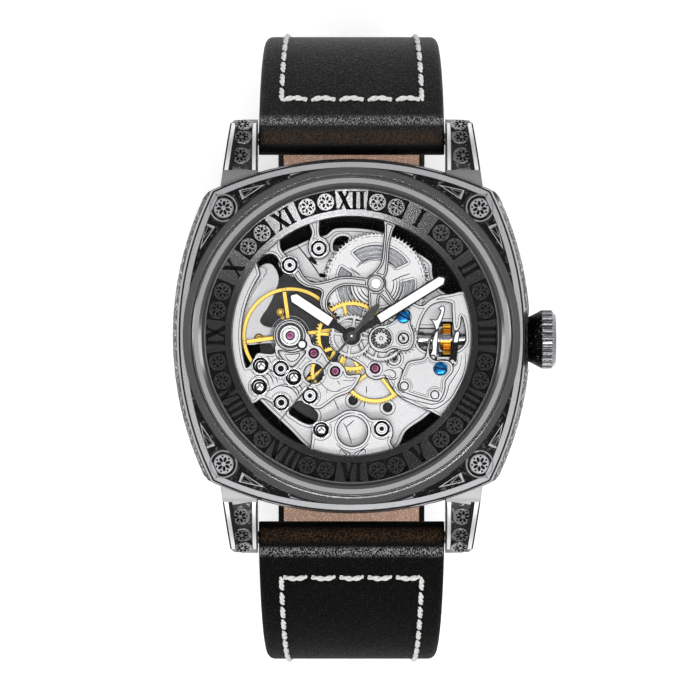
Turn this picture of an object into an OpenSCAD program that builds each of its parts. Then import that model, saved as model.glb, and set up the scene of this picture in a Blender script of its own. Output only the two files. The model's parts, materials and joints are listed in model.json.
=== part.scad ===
// Square skeleton watch on a closed, buckled leather strap
// Millimetres. +Z points out of the dial, +Y to twelve o'clock, +X to the crown.
// The origin is the centre of the flat outer face of the case back.

/* [Case] */
// Width over the two engraved sides, at nine and three o'clock
case_w = 45.6; // [45:0.1:47]
// Height over the other two sides, at twelve and six o'clock
case_h = 45.2; // [44.8:0.1:46.4]
// Radius of the bow of each side, seen from above
side_bow_r = 41.7; // [38:0.5:46]
// How far the top edge of the sides at nine and three lies inside their widest line
side_lean = 0.9; // [0.6:0.1:1.1]
// How far the top edge of the sides at twelve and six lies inside their widest line
end_lean = 0.35; // [0.2:0.05:0.6]
// Radius that trims the four corners
corner_r = 25.8; // [25.4:0.1:26.4]
// Height of the lower face of the case middle
case_low = 0.9; // [0.7:0.1:1]
// Height of the top rim of the case
case_top = 9.9; // [9.7:0.1:10.4]
// Width of the holder ring between the movement and the case
holder_w = 2.1; // [2:0.1:2.6]
// Width of the polished rim round the corner panels
rim_w = 0.6; // [0.5:0.05:0.9]
// Depth of the dark panels in the corners and the lugs
panel_depth = 0.45; // [0.3:0.05:0.6]
// Distance of each corner roundel from both middle lines
roundel_at = 16.2; // [16:0.05:16.4]
// Radius of a corner roundel
roundel_r = 1.25; // [1.1:0.05:1.35]

/* [Bezel and crystal] */
// Outer radius of the bezel
bezel_r = 21.35; // [21:0.05:21.5]
// Inner radius of the bezel
bezel_in_r = 18.95; // [18.8:0.05:19.1]
// Height of the top of the bezel
bezel_top = 11.8; // [11.6:0.1:12.2]
// Thickness of the crystal
crystal_t = 1.5; // [1.2:0.1:1.6]
// Radial thickness of the crystal gasket
gasket_t = 0.3; // [0.2:0.05:0.4]

/* [Dial ring] */
// Inner radius of the dial ring
dial_in_r = 15.25; // [15:0.05:15.4]
// Thickness of the dial ring
dial_t = 1; // [0.8:0.1:1.1]
// Radius of the circle on which the studs of the dial ring stand
stud_ring_r = 17.3; // [17.1:0.05:17.4]
// Radius of a stud of the dial ring
stud_r = 1.08; // [0.9:0.02:1.1]
// Length of the recessed windows, across the ring
window_w = 2.5; // [2.4:0.05:2.6]

/* [Lugs and crown] */
// Distance between the inner faces of a pair of lugs
lug_gap = 24; // [23:0.1:25]
// How far the lugs reach past the sides at twelve and six
lug_reach = 5.1; // [4.9:0.1:6.4]
// Width of a lug where it leaves the case
lug_w = 4.6; // [4.2:0.1:5]
// Radius of a lug roundel
lug_roundel_r = 1.15; // [1:0.05:1.2]
// Height of the stem above the case back's outer face
stem_z = 4.7; // [4.6:0.05:4.8]
// Radius of the crown
crown_r = 3.75; // [3.3:0.05:3.9]
// Length of the crown
crown_len = 3.6; // [3.4:0.1:4.4]
// Number of flutes round the crown
crown_flutes = 26; // [16:1:32]

/* [Strap] */
// Distance of the upper spring bar from the side at twelve
bar_up_gap = 2.6; // [2.4:0.1:2.8]
// Distance of the lower spring bar from the side at six
bar_low_gap = 3.1; // [2.9:0.1:3.3]
// Height of the spring bars
bar_z = 3; // [2.8:0.1:3.3]
// Thickness of the padded strap at the lugs
strap_thick = 4.1; // [3.6:0.1:4.2]
// Thickness of the strap at the buckle
strap_thin = 2.2; // [2:0.1:2.4]
// Width of the strap at the buckle
strap_end_w = 20; // [18:0.5:21]
// Clearance between the strap and what it passes
strap_gap = 0.1; // [0.08:0.01:0.2]
// Length of the straight stretch of the short half, beside the wrist
short_side = 5.3; // [4:0.1:9]

/* [Buckle] */
// Distance of the buckle bar from the middle line
buckle_y = 4; // [2:0.5:5]
// Radius of the buckle bar
buckle_bar_r = 0.75; // [0.6:0.05:0.8]
// Thickness of the buckle's wire
buckle_wire = 2.2; // [2:0.1:2.2]
// Distance from the buckle bar to its outer crossbar
buckle_reach = 14; // [13:0.5:16]
// Thickness of a keeper
keeper_t = 1; // [0.9:0.05:1.2]
// Width of a keeper along the strap
keeper_w = 3.6; // [3:0.1:4]

/* [Hands] */
// Direction in which the hour hand points, from three o'clock
hour_at = 146.4; // [0:0.1:360]
// Direction in which the minute hand points, from three o'clock
minute_at = 31.8; // [0:0.1:360]
// Direction in which the seconds hand points, from three o'clock
seconds_at = 229.6; // [0:0.1:360]
// Length of the hour hand
hour_len = 9.5; // [8:0.1:12]
// Length of the minute hand
minute_len = 14.1; // [12:0.1:14.8]
// Length of the seconds hand
seconds_len = 14.3; // [12:0.1:14.8]
// Width of the hour and minute hands
hand_w = 1.55; // [1.2:0.05:1.8]

/* [Movement] */
// Radius of the movement
movement_r = 15.6; // [15.55:0.01:15.65]
// Running clearance of pivots, arbors and tubes
run_fit = 0.03; // [0.02:0.005:0.04]
// Tooth module of barrel and centre pinion
barrel_module = 0.1675; // [0.167:0.0001:0.168]
// Tooth module of centre wheel and third pinion
centre_module = 0.1414; // [0.141:0.0001:0.1418]
// Tooth module of third wheel, seconds pinion and fourth pinion
third_module = 0.1198; // [0.1195:0.0001:0.12]
// Tooth module of fourth wheel and escape pinion
fourth_module = 0.1017; // [0.1012:0.0001:0.102]
// Tooth module of minute wheel and cannon pinion
motion_module = 0.1257; // [0.125:0.0001:0.126]
// Tooth module of ratchet wheel and crown wheel
winding_module = 0.2; // [0.198:0.001:0.202]
// Outer radius of the balance wheel
balance_r = 6.2; // [5.8:0.05:6.3]
// Radius of the jewels
jewel_r = 0.55; // [0.5:0.01:0.6]
// Turns of the hairspring
hairspring_turns = 7; // [5:1:9]
// Turns of the mainspring
mainspring_turns = 6; // [4:1:7]

/* [Hidden] */
$fn = 96;
eps = 0.01; // overlap that makes a clean cut
skin = 0.02; // gap between faces that seat on each other
case_bore_r = movement_r + holder_w;

// Heights in the case, from the outer face of the case back
back_floor = 0.7;
back_top = 2.2;
ring_seat_z = 7.8;
dial_z = ring_seat_z + skin;
dial_top = dial_z + dial_t;
bezel_seat_z = 9.05;
bezel_low = bezel_seat_z + skin;
crystal_z = bezel_low + 0.5;
waist_z = 4.9;

// Heights in the movement
ratchet_z = 2.42;
ratchet_t = 0.43;
bridge_z = 2.95;
bridge_t = 0.62;
drum_z = 3.64;
drum_top = 5.15;
drum_tooth_z = 4.62;
third_z = 3.9;
wheel_t = 0.2;
rim_z = 3.5;
rim_t = 0.5;
escape_z = 4.5;
pallet_bridge_z = 4.12;
fourth_z = 5;
centre_z = 5.35;
plate_z = 5.75;
plate_t = 0.85;
plate_top = plate_z + plate_t;
front_z = plate_top + skin;
front_t = 0.42;
minute_wheel_z = 6.75;
motion_z = 7.06;
hour_hand_z = 8.05;
minute_hand_z = 8.5;
seconds_hand_z = 8.95;
hand_t = 0.24;

// Teeth
barrel_teeth = 78;
centre_leaves = 10;
centre_teeth = 64;
third_leaves = 8;
third_teeth = 75;
fourth_leaves = 10;
fourth_teeth = 63;
escape_leaves = 7;
escape_teeth = 20;
cannon_leaves = 12;
minute_teeth = 48;
minute_leaves = 12;
hour_teeth = 36;
setting_teeth = 24;
ratchet_teeth = 52;
crown_wheel_teeth = 36;
winding_leaves = 18;

function polar(r, a) = [r * cos(a), r * sin(a)];
function centres(m, a, b) = m * (a + b) / 2;
// Turn that puts a gap of wheel b where wheel a, turned by at, has a tooth on the line of centres
function mesh(a, at, line, b) = line + 180 - 180 / b - (at - line) * a / b;

// Places of the arbors, each one tooth pair further along the train
centre_at = [0, 0];
barrel_line = 65.2;
barrel_at = polar(centres(barrel_module, barrel_teeth, centre_leaves), barrel_line);
third_line = -54;
third_at = polar(centres(centre_module, centre_teeth, third_leaves), third_line);
fourth_line = 184;
fourth_at = third_at + polar(centres(third_module, third_teeth, fourth_leaves), fourth_line);
escape_line = 140;
escape_at = fourth_at + polar(centres(fourth_module, fourth_teeth, escape_leaves), escape_line);
balance_line = 143;
pallet_at = escape_at + polar(1.86, balance_line);
balance_at = escape_at + polar(3.74, balance_line);
minute_line = -4.26;
minute_wheel_at = polar(centres(motion_module, cannon_leaves, minute_teeth), minute_line);
hour_module = 2 * norm(minute_wheel_at) / (hour_teeth + minute_leaves);
setting_at = minute_wheel_at + [centres(hour_module, minute_leaves, setting_teeth), 0];
stem_y = -0.4;
pinion_r = winding_module * winding_leaves / 2;
pinion_x = 11.3;
pinion_len = 1.3;
crown_wheel_r = winding_module * crown_wheel_teeth / 2;
crown_wheel_at = [pinion_x + 0.32 - winding_module * (crown_wheel_teeth / 2 - 1.15), stem_y];

// Turns of the wheels at rest, worked out from the hands
minute_turn = minute_at;
third_turn = mesh(centre_teeth, minute_turn, third_line, third_leaves);
third_wheel_turn = third_line + 180;
seconds_turn = mesh(third_teeth, third_wheel_turn, third_line + 180, fourth_leaves);
fourth_turn = mesh(third_teeth, third_wheel_turn, fourth_line, fourth_leaves);
escape_turn = mesh(fourth_teeth, fourth_turn, escape_line, escape_leaves);
barrel_turn = mesh(centre_leaves, minute_turn, barrel_line, barrel_teeth);
minute_wheel_turn = mesh(cannon_leaves, minute_turn, minute_line, minute_teeth);
minute_pinion_turn = minute_line + 180;
hour_turn = mesh(minute_leaves, minute_pinion_turn, minute_line + 180, hour_teeth);
setting_turn = mesh(minute_leaves, minute_pinion_turn, 0, setting_teeth);
ratchet_line = atan2(barrel_at[1] - crown_wheel_at[1], barrel_at[0] - crown_wheel_at[0]);
crown_wheel_turn = 180 / crown_wheel_teeth;
ratchet_turn = mesh(crown_wheel_teeth, crown_wheel_turn, ratchet_line, ratchet_teeth);

// Closed curve through a few chosen points
function smooth(p, n = 4) = let(m = len(p)) [for (i = [0:m - 1]) for (j = [0:n - 1])
    let(t = j / n, a = p[(i + m - 1) % m], b = p[i], c = p[(i + 1) % m], d = p[(i + 2) % m])
    (2 * b + (c - a) * t + (2 * a - 5 * b + 4 * c - d) * t * t + (3 * b - a - 3 * c + d) * t * t * t) / 2];
function arc(r, a0, a1, n = 12, c = [0, 0]) = [for (i = [0:n]) c + polar(r, a0 + (a1 - a0) * i / n)];
function mix(a, b, f) = a + (b - a) * f;

module tube(r, bore, z0, z1) {
    translate([0, 0, z0]) difference() {
        cylinder(r = r, h = z1 - z0);
        translate([0, 0, -eps]) cylinder(r = bore, h = z1 - z0 + 2 * eps);
    }
}
module slab(z, t) { translate([0, 0, z]) linear_extrude(t) children(); }
module at(p) { translate([p[0], p[1], 0]) children(); }
module four_ways() { for (x = [0, 1]) mirror([x, 0, 0]) for (y = [0, 1]) mirror([0, y, 0]) children(); }

// Gear outline: four points for each tooth, with straight flanks
module gear2d(teeth, m, turn = 0) {
    r = m * teeth / 2;
    step = 360 / teeth;
    polygon([for (i = [0:teeth - 1]) for (k = [[-0.29, -1.15], [-0.11, 0.85], [0.11, 0.85],
        [0.29, -1.15]])
        polar(r + k[1] * m, turn + (i + k[0]) * step)]);
}
module gear(teeth, m, z, t, bore, turn = 0) {
    slab(z, t) difference() {
        gear2d(teeth, m, turn);
        circle(bore);
    }
}
// Wheel with a thin rim, spokes and a hub
module spoked_wheel(teeth, m, z, t, hub, spokes, bore, turn) {
    inside = m * (teeth / 2 - 1.15) - 0.42;
    spoke_w = 0.42;
    slab(z, t) difference() {
        gear2d(teeth, m, turn);
        difference() {
            circle(inside);
            circle(hub);
            for (i = [0:spokes - 1]) rotate(turn + i * 360 / spokes)
                translate([0, -spoke_w / 2]) square([inside + eps, spoke_w]);
        }
        circle(bore);
    }
}

// Side profile of the case: widest at the waist, leaning in above and below
function side_profile(r, lean) = concat([[0, case_low]],
    [for (k = [0:6]) let(z = mix(case_low, case_top, k / 6))
        [r - lean * pow((z - waist_z) / (case_top - waist_z), 2), z]], [[0, case_top]]);
seam_turn = 7; // turns the seam of a round side off the middle line
module side_solid(half, lean) {
    translate([side_bow_r - half, 0, 0]) rotate([0, 0, seam_turn])
        rotate_extrude($fn = 180) polygon(side_profile(side_bow_r, lean));
}
module cushion_solid() {
    intersection() {
        side_solid(case_w / 2, side_lean);
        mirror([1, 0, 0]) side_solid(case_w / 2, side_lean);
        rotate(90) side_solid(case_h / 2, end_lean);
        rotate(-90) side_solid(case_h / 2, end_lean);
        cylinder(r = corner_r, h = case_top + 1);
    }
}
// Plan outline of the top face, drawn in by a width
module cushion2d(inward) {
    across = side_bow_r - case_w / 2;
    along = side_bow_r - case_h / 2;
    intersection() {
        translate([across, 0]) circle(side_bow_r - side_lean - inward, $fn = 180);
        translate([-across, 0]) circle(side_bow_r - side_lean - inward, $fn = 180);
        translate([0, along]) circle(side_bow_r - end_lean - inward, $fn = 180);
        translate([0, -along]) circle(side_bow_r - end_lean - inward, $fn = 180);
        circle(corner_r - inward);
    }
}
// Lug, seen from the side: its top curves down to the tip
bar_up = case_h / 2 + bar_up_gap;
bar_low = case_h / 2 + bar_low_gap;
lug_tip = case_h / 2 + lug_reach;
lug_root = case_h / 2 - 5.6;
lug_high = 8.9;
lug_foot = -0.6;
function lug_top(y) = let(f = (y - lug_root) / (lug_tip - lug_root))
    lug_high - 0.5 * f - 5.4 * pow(f, 3.2);
function lug_slope(y) = atan((lug_top(y + 0.05) - lug_top(y - 0.05)) / 0.1);
function lug_profile(drop) = concat(
    [for (k = [0:12]) let(y = mix(lug_root, lug_tip, k / 12)) [y, lug_top(y) - drop]],
        [[lug_tip - 0.1, 1.2], [lug_tip - 0.9, lug_foot + 0.5], [lug_tip - 2.2, lug_foot],
        [lug_tip - 4.5, lug_foot + 0.3], [lug_root + 2.5, case_low + 0.4],
        [lug_root, case_low + 0.4]]);
lug_in = lug_gap / 2;
lug_out = lug_in + lug_w;
lug_narrow = 1.1;
module lug_side(drop) {
    translate([lug_in - 1, 0, 0]) rotate([90, 0, 90]) linear_extrude(lug_w + 2) polygon(lug_profile(drop));
}
module lug() {
    intersection() {
        lug_side(0);
        translate([0, 0, lug_foot - 1]) linear_extrude(lug_high + 3) polygon([[lug_in, lug_root - 1],
            [lug_out, lug_root - 1], [lug_out, lug_tip - 8.5], [lug_out - lug_narrow, lug_tip - 0.6],
            [lug_out - lug_narrow - 0.5, lug_tip - 0.1], [lug_in, lug_tip + 0.1]]);
    }
}
lug_rim = 0.65;
module lug_pocket() {
    difference() {
        translate([0, 0, 1]) linear_extrude(lug_high) polygon([[lug_in + lug_rim, lug_tip - 6.7],
            [lug_out - lug_rim, lug_tip - 6.1], [lug_out - lug_narrow - lug_rim, lug_tip - 0.5],
            [lug_in + lug_rim, lug_tip - 0.4]]);
        lug_side(panel_depth);
    }
}
lug_disc_y = [lug_tip - 4.95, lug_tip - 2.65, lug_tip - 1];
bar_hole_r = 0.45;
// The spring bars stand at their own distance above and below the middle line
module bar_holes() {
    for (y = [bar_up, -bar_low]) translate([-lug_in - 2.2, y, bar_z]) rotate([0, 90, 0])
        cylinder(r = bar_hole_r, h = 2 * lug_in + 4.4, $fn = 32);
}
module lug_disc_places() {
    for (y = lug_disc_y) {
        x = lug_in + lug_rim + 0.2 + lug_roundel_r - 0.15 * (y - lug_disc_y[0]) / 2;
        translate([x, y, lug_top(y) - panel_depth - 0.14]) rotate([lug_slope(y), 0, 0]) children();
    }
}
module corner_panels() {
    difference() {
        cushion2d(rim_w);
        circle(bezel_r + 0.12);
        four_ways() translate([roundel_at, roundel_at]) circle(roundel_r + 0.7);
        square([2 * case_w, 16], center = true);
        square([16, 2 * case_h], center = true);
    }
}
bezel_groove = 0.12;
module case_middle() {
    color("#55565a") difference() {
        union() {
            cushion_solid();
            four_ways() difference() {
                lug();
                lug_pocket();
                lug_disc_places() translate([0, 0, -skin]) cylinder(r = lug_roundel_r + skin, h = 1.5,
                    $fn = 48);
            }
        }
        translate([0, 0, -2]) cylinder(r = case_bore_r, h = ring_seat_z + 2);
        translate([0, 0, ring_seat_z - eps]) cylinder(r = bezel_in_r - 0.1, h = 5);
        translate([0, 0, bezel_seat_z]) cylinder(r = bezel_r + bezel_groove, h = 5);
        slab(case_top - panel_depth, 2) corner_panels();
        four_ways() translate([roundel_at, roundel_at, case_top - panel_depth])
            cylinder(r = roundel_r + 0.25, h = 2, $fn = 48);
        bar_holes();
        translate([0, stem_y, stem_z]) rotate([0, 90, 0]) cylinder(r = tube_r + skin, h = case_w, $fn = 48);
        translate([crown_seat, stem_y, stem_z]) rotate([0, 90, 0]) cylinder(r = crown_r + 0.3, h = 5);
    }
}
module corner_frame() {
    outer = [[10.9, 19.2], [14.3, 18.45], [13.85, 17.25]];
    inner = [[12.6, 18.6], [13.85, 18.2], [13.6, 17.65]];
    slab(case_top - panel_depth + skin / 2, panel_depth - 0.06) difference() {
        polygon(outer);
        polygon(inner);
    }
}
module roundel(r, t) {
    cylinder(r = r, h = t - 0.08, $fn = 48);
    cylinder(r = r - 0.1, h = t, $fn = 48);
}
module case_ornaments() {
    color("#9a9ca0") four_ways() {
        translate([roundel_at, roundel_at, case_top - panel_depth + skin / 2]) roundel(roundel_r,
            panel_depth - 0.05);
        lug_disc_places() roundel(lug_roundel_r, panel_depth);
        corner_frame();
        mirror([1, -1, 0]) corner_frame();
    }
}
module bezel() {
    profile = [[bezel_in_r - 0.4, bezel_low], [bezel_r, bezel_low], [bezel_r, 10.05], [20.5, 10.85],
        [20.4, 10.72], [20.25, 10.9], [20.12, bezel_top - 0.12], [19.95, bezel_top], [19.35, bezel_top],
        [bezel_in_r, bezel_top - 0.3], [bezel_in_r, crystal_z - skin],
        [bezel_in_r - 0.4, crystal_z - skin]];
    color("#77797e") rotate_extrude($fn = 180) polygon(profile);
}
crystal_r = bezel_in_r - gasket_t - 2 * skin;
module crystal() {
    color("#e8f2f8", 0.25) translate([0, 0, crystal_z]) {
        cylinder(r = crystal_r, h = crystal_t - 0.15);
        cylinder(r = crystal_r - 0.25, h = crystal_t);
    }
}
module crystal_gasket() {
    color("#202020")
        tube(bezel_in_r - skin, crystal_r + skin, crystal_z, crystal_z + crystal_t - 0.25);
}
back_r = case_bore_r + 1.1;
back_window_r = 12.6;
back_glass_t = 0.9;
module case_back() {
    color("#8a8c90") difference() {
        union() {
            cylinder(r = back_r, h = case_low - skin);
            cylinder(r = case_bore_r - 0.06, h = back_top);
        }
        translate([0, 0, -1]) cylinder(r = back_window_r, h = 1 + back_glass_t + skin);
        cylinder(r = back_window_r - 0.8, h = 5);
        translate([0, 0, 1.5]) cylinder(r = movement_r + 0.2, h = 5);
        difference() {
            translate([0, 0, back_top - 0.75]) cylinder(r = case_bore_r, h = 0.4);
            cylinder(r = case_bore_r - 0.5, h = 5);
        }
        for (i = [0:5]) rotate(30 + i * 60) translate([back_window_r + 3.3, 0, -eps]) cylinder(r = 0.9,
            h = 0.35, $fn = 24);
    }
}
module case_back_glass() { color("#e8f2f8", 0.25) cylinder(r = back_window_r - skin, h = back_glass_t); }
module case_back_gasket() {
    color("#202020") tube(case_bore_r - skin, case_bore_r - 0.48, back_top - 0.73, back_top - 0.37);
}
module movement_ring() {
    color("#1e1f21") difference() {
        union() {
            tube(case_bore_r - 0.06, movement_r + skin, back_top + skin, ring_seat_z - skin);
            tube(movement_r + 0.1, dial_in_r + 0.1, plate_top + skin, ring_seat_z - skin);
        }
        translate([movement_r - 1, stem_y, stem_z]) rotate([0, 90, 0]) cylinder(r = 1.1, h = 5, $fn = 48);
    }
}

// Dial ring: a window with two studs between each pair of hours
window_depth = 0.45;
window_turn = 8.4;
stud_turn = 4.05;
module window2d() {
    a = stud_ring_r - window_w / 2;
    b = stud_ring_r + window_w / 2;
    polygon(concat(arc(a, -window_turn, window_turn, 5), arc(b, window_turn, -window_turn, 5)));
}
module dial_ring() {
    color("#303235") {
        difference() {
            tube(bezel_in_r - 0.15, dial_in_r, dial_z, dial_top);
            for (i = [0:11]) rotate(15 + 30 * i) slab(dial_top - window_depth, 1) window2d();
        }
        for (i = [0:11]) for (s = [-1, 1]) rotate(15 + 30 * i + s * stud_turn)
            translate([stud_ring_r, 0, dial_top - window_depth - eps]) cylinder(r = stud_r,
                h = window_depth - 0.04, $fn = 32);
    }
}

// Crown and stem
tube_r = 1.1;
tube_bore_r = 0.78;
stem_r = 0.72;
crown_seat = case_w / 2 - 0.75;
tube_len = crown_seat + 1.3 - case_bore_r;
module along_x(x) { translate([x, stem_y, stem_z]) rotate([0, 90, 0]) children(); }
module crown_tube() {
    color("#6a6b6f") along_x(case_bore_r + 0.05) difference() {
        cylinder(r = tube_r, h = tube_len, $fn = 48);
        translate([0, 0, -1]) cylinder(r = tube_bore_r, h = tube_len + 2, $fn = 48);
    }
}
crown_in = crown_seat + 0.35;
crown_cone = 1.85;
module crown() {
    shape = [[tube_r + 0.08, 0], [crown_r * 0.74, 0], [crown_r, crown_cone], [crown_r, crown_len - 0.55],
        [crown_r * 0.84, crown_len], [0, crown_len], [0, 1.5], [tube_r + 0.08, 1.5]];
    color("#35363a") along_x(crown_in) difference() {
        rotate_extrude() polygon(shape);
        translate([0, 0, -1]) cylinder(r = stem_r + skin / 2, h = crown_len, $fn = 48);
        for (i = [0:crown_flutes - 1]) rotate(i * 360 / crown_flutes) translate([crown_r + 0.12, 0, crown_cone - 0.1])
            cylinder(r = 0.3, h = crown_len, $fn = 16);
    }
}
stem_in = 7.6;
square_w = 0.7;
stem_neck_r = 0.5;
stem_pilot_r = 0.25;
stem_groove = [12.85, 13.45];
module stem_part(x0, x1, r) { along_x(x0) cylinder(r = r, h = x1 - x0, $fn = 48); }
module winding_stem() {
    color("#c9cbd0") {
        stem_part(stem_groove[1], crown_in + crown_len - 1 - skin, stem_r);
        stem_part(stem_groove[0] - eps, stem_groove[1] + eps, 0.45);
        stem_part(pinion_x - 0.1, stem_groove[0], stem_neck_r);
        along_x(stem_in) translate([-square_w / 2, -square_w / 2, 0])
            cube([square_w, square_w, pinion_x - 0.1 - stem_in + eps]);
        stem_part(stem_in - 0.9, stem_in + 0.1, stem_pilot_r);
    }
}
// Ring of teeth that point along the stem
module face_teeth(r_in, r_out, h, count) {
    for (i = [0:count - 1]) rotate(i * 360 / count) linear_extrude(h) polygon([polar(r_in, -90 / count),
        polar(r_out, -90 / count), polar(r_out, 90 / count), polar(r_in, 90 / count)]);
}
module winding_pinion() {
    color("#d8a72c") along_x(pinion_x) difference() {
        union() {
            slab(0.35, pinion_len - 0.35) gear2d(winding_leaves, winding_module);
            cylinder(r = 1.25, h = 0.4, $fn = 48);
        }
        translate([0, 0, -1]) cylinder(r = stem_neck_r + run_fit, h = 5, $fn = 32);
    }
}
clutch_x = 8.5;
clutch_len = 2.65;
clutch_groove = 1.75; // from the clutch's inner end to its groove
clutch_groove_w = 0.5;
clutch_groove_r = 0.6;
module sliding_pinion() {
    hole = square_w + 2 * run_fit;
    color("#c9cbd0") along_x(clutch_x) difference() {
        union() {
            cylinder(r = 0.95, h = 0.7, $fn = 48);
            cylinder(r = 0.85, h = clutch_groove, $fn = 48);
            cylinder(r = clutch_groove_r, h = clutch_len, $fn = 48);
            translate([0, 0, clutch_groove + clutch_groove_w]) cylinder(r = 1.15,
                h = clutch_len - clutch_groove - clutch_groove_w, $fn = 48);
            translate([0, 0, -0.25]) face_teeth(0.6, 0.9, 0.26, 10);
        }
        translate([-hole / 2, -hole / 2, -1]) cube([hole, hole, 9]);
    }
}

// Keyless works, on the dial side of the main plate
cover_screw = [11.28, -4.12];
cover_pins = [[6.69, -6.34], [10.57, -7.45]];
cover_pin_r = 0.45;
lever_pivot = [12.8, -3.25];
yoke_pivot = [10.35, -2.75];
pivot_r = 0.25;
lever_z = plate_top + 0.05;
lever_t = 0.3;
module finger(x, bottom) {
    translate([x, stem_y, bottom]) cylinder(r = 0.2, h = lever_z - bottom + eps, $fn = 24);
}
module setting_lever() {
    outline = [[13.25, 0.6], [13.75, 0.5], [13.6, -0.8], [13.45, -1.9], [13.3, -3.2], [12.85, -3.8],
        [12.3, -3.4], [12.6, -2.4], [12.8, -1.2], [12.95, -0.2]];
    color("#d9dadd") difference() {
        union() {
            slab(lever_z, lever_t) polygon(smooth(outline));
            finger(13.15, stem_z + 0.5);
        }
        at(lever_pivot) cylinder(r = pivot_r + run_fit, h = 9, $fn = 24);
    }
}
module yoke() {
    outline = [[11.6, 3.9], [11.9, 3.4], [11.55, 2.1], [11.15, 1.1], [11.0, -0.7], [10.9, -1.9],
        [10.85, -2.9], [10.3, -3.3], [9.85, -2.8], [10.2, -1.7], [10.2, -0.7], [10.6, 0.8],
        [10.25, 1.8], [9.85, 2.25], [10.7, 2.1], [11.05, 2.6], [11.3, 3.2], [10.95, 3.5]];
    color("#d9dadd") difference() {
        union() {
            slab(lever_z, lever_t) polygon(smooth(outline));
            finger(clutch_x + clutch_groove + clutch_groove_w / 2, stem_z + clutch_groove_r + 0.05);
        }
        at(yoke_pivot) cylinder(r = pivot_r + run_fit, h = 9, $fn = 24);
    }
}
setting_cover_z = plate_top + 0.42;
cover_t = 0.28;
screw_shaft_r = 0.3;
// Cover of the keyless works, with the spring finger that presses on the yoke
module setting_cover() {
    outline = [[9.0, -2.85], [9.4, -2.3], [9.5, -1.6], [9.8, -0.6], [10.3, 0.4], [10.95, 0.95],
        [11.05, 0.8], [10.45, 0.15], [10.1, -0.7], [9.9, -1.6], [10.0, -2.5], [10.5, -3.0],
        [11.4, -3.0], [12.3, -3.1], [12.85, -3.6], [12.9, -4.5], [12.0, -5.7], [11.9, -6.8],
        [11.4, -8.0], [10.7, -8.35], [8.6, -7.85], [6.5, -7.1], [5.9, -6.5], [6.2, -5.3], [6.7, -4.0],
        [7.3, -3.2]];
    color("#e4e5e8") difference() {
        slab(setting_cover_z, cover_t) polygon(smooth(outline));
        at(cover_screw) cylinder(r = screw_shaft_r + skin, h = 9, $fn = 24);
        for (p = cover_pins) at(p) cylinder(r = cover_pin_r + skin, h = 9, $fn = 24);
    }
}
motion_screw = [6.58, 2.47];
motion_cover_z = 7.5;
motion_boss_r = 0.62;
setting_boss_r = 0.6;
// Cover of the motion works, with a window over the minute wheel's pinion
module motion_cover() {
    outline = [[5.6, 2.2], [5.7, 3.1], [6.6, 3.6], [7.4, 3.0], [7.5, 1.6], [7.9, 0.5], [7.95, -0.7],
        [7.45, -1.65], [6.6, -1.9], [5.6, -1.65], [5.1, -1.7], [4.3, -2.1], [3.2, -2.0], [2.4, -1.4],
        [2.1, -0.4], [2.4, 0.6], [3.3, 1.3], [4.5, 1.5]];
    color("#e4e5e8") difference() {
        slab(motion_cover_z, cover_t) polygon(smooth(outline));
        at(motion_screw) cylinder(r = screw_shaft_r + skin, h = 9, $fn = 24);
        at(setting_at) cylinder(r = setting_boss_r + run_fit, h = 9, $fn = 48);
        at(minute_wheel_at) cylinder(r = 1.2, h = 9, $fn = 48);
    }
}
module setting_wheel() {
    color("#d9dadd") at(setting_at) {
        gear(setting_teeth, hour_module, motion_z, 0.26, 0.15, setting_turn);
        tube(setting_boss_r, 0.15, motion_z, motion_cover_z + cover_t - 0.04);
    }
}
minute_post_r = 0.17;
module minute_wheel() {
    bore = minute_post_r + run_fit;
    color("#e4e5e8") at(minute_wheel_at) {
        spoked_wheel(minute_teeth, motion_module, minute_wheel_z, wheel_t, 1.1, 4, bore, minute_wheel_turn);
        gear(minute_leaves, hour_module, minute_wheel_z + wheel_t - eps, 0.5, bore, minute_pinion_turn);
    }
}
module hour_wheel() {
    color("#dcdde0") {
        spoked_wheel(hour_teeth, hour_module, motion_z, 0.26, 1.35, 4, 0.62, hour_turn);
        tube(0.88, 0.6 + run_fit, motion_z, hour_hand_z + hand_t - 0.02);
    }
}
module cannon_pinion() {
    color("#c9cbd0") {
        gear(cannon_leaves, motion_module, minute_wheel_z - 0.05, 0.3, 0.35, minute_turn);
        tube(0.6, 0.35, minute_wheel_z - 0.05, minute_hand_z + hand_t - 0.02);
    }
}

// Going train
arbor_bore = 0.15 + run_fit;
module centre_wheel() {
    color("#e3b437") {
        spoked_wheel(centre_teeth, centre_module, centre_z, wheel_t, 0.95, 5, arbor_bore, minute_turn);
        gear(centre_leaves, barrel_module, drum_tooth_z - 0.1, centre_z - drum_tooth_z + 0.1 + eps,
            arbor_bore, minute_turn);
        tube(0.33, arbor_bore, centre_z, plate_top + 1.2);
    }
}
// Arbor with a pivot at each end
module arbor(z0, z1, r = 0.2) {
    pivot = 0.3;
    translate([0, 0, z0]) cylinder(r = 0.1, h = z1 - z0, $fn = 24);
    translate([0, 0, z0 + pivot]) cylinder(r = r, h = z1 - z0 - 2 * pivot, $fn = 24);
}
back_pivot_z = bridge_z + 0.25;
front_pivot_z = plate_z + 0.45;
module third_wheel() {
    color("#e3b437") at(third_at) {
        spoked_wheel(third_teeth, third_module, third_z, wheel_t, 0.9, 4, 0, third_wheel_turn);
        gear(third_leaves, centre_module, centre_z - 0.05, 0.32, 0, third_turn);
        arbor(back_pivot_z, front_pivot_z);
    }
}
module seconds_pinion() {
    color("#c9cbd0") {
        gear(fourth_leaves, third_module, third_z - 0.2, 0.6, 0, seconds_turn);
        translate([0, 0, back_pivot_z]) cylinder(r = 0.1, h = 1, $fn = 24);
        translate([0, 0, third_z - 0.25]) cylinder(r = 0.15, h = seconds_hand_z + 0.28 - third_z + 0.25,
            $fn = 24);
    }
}
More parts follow.
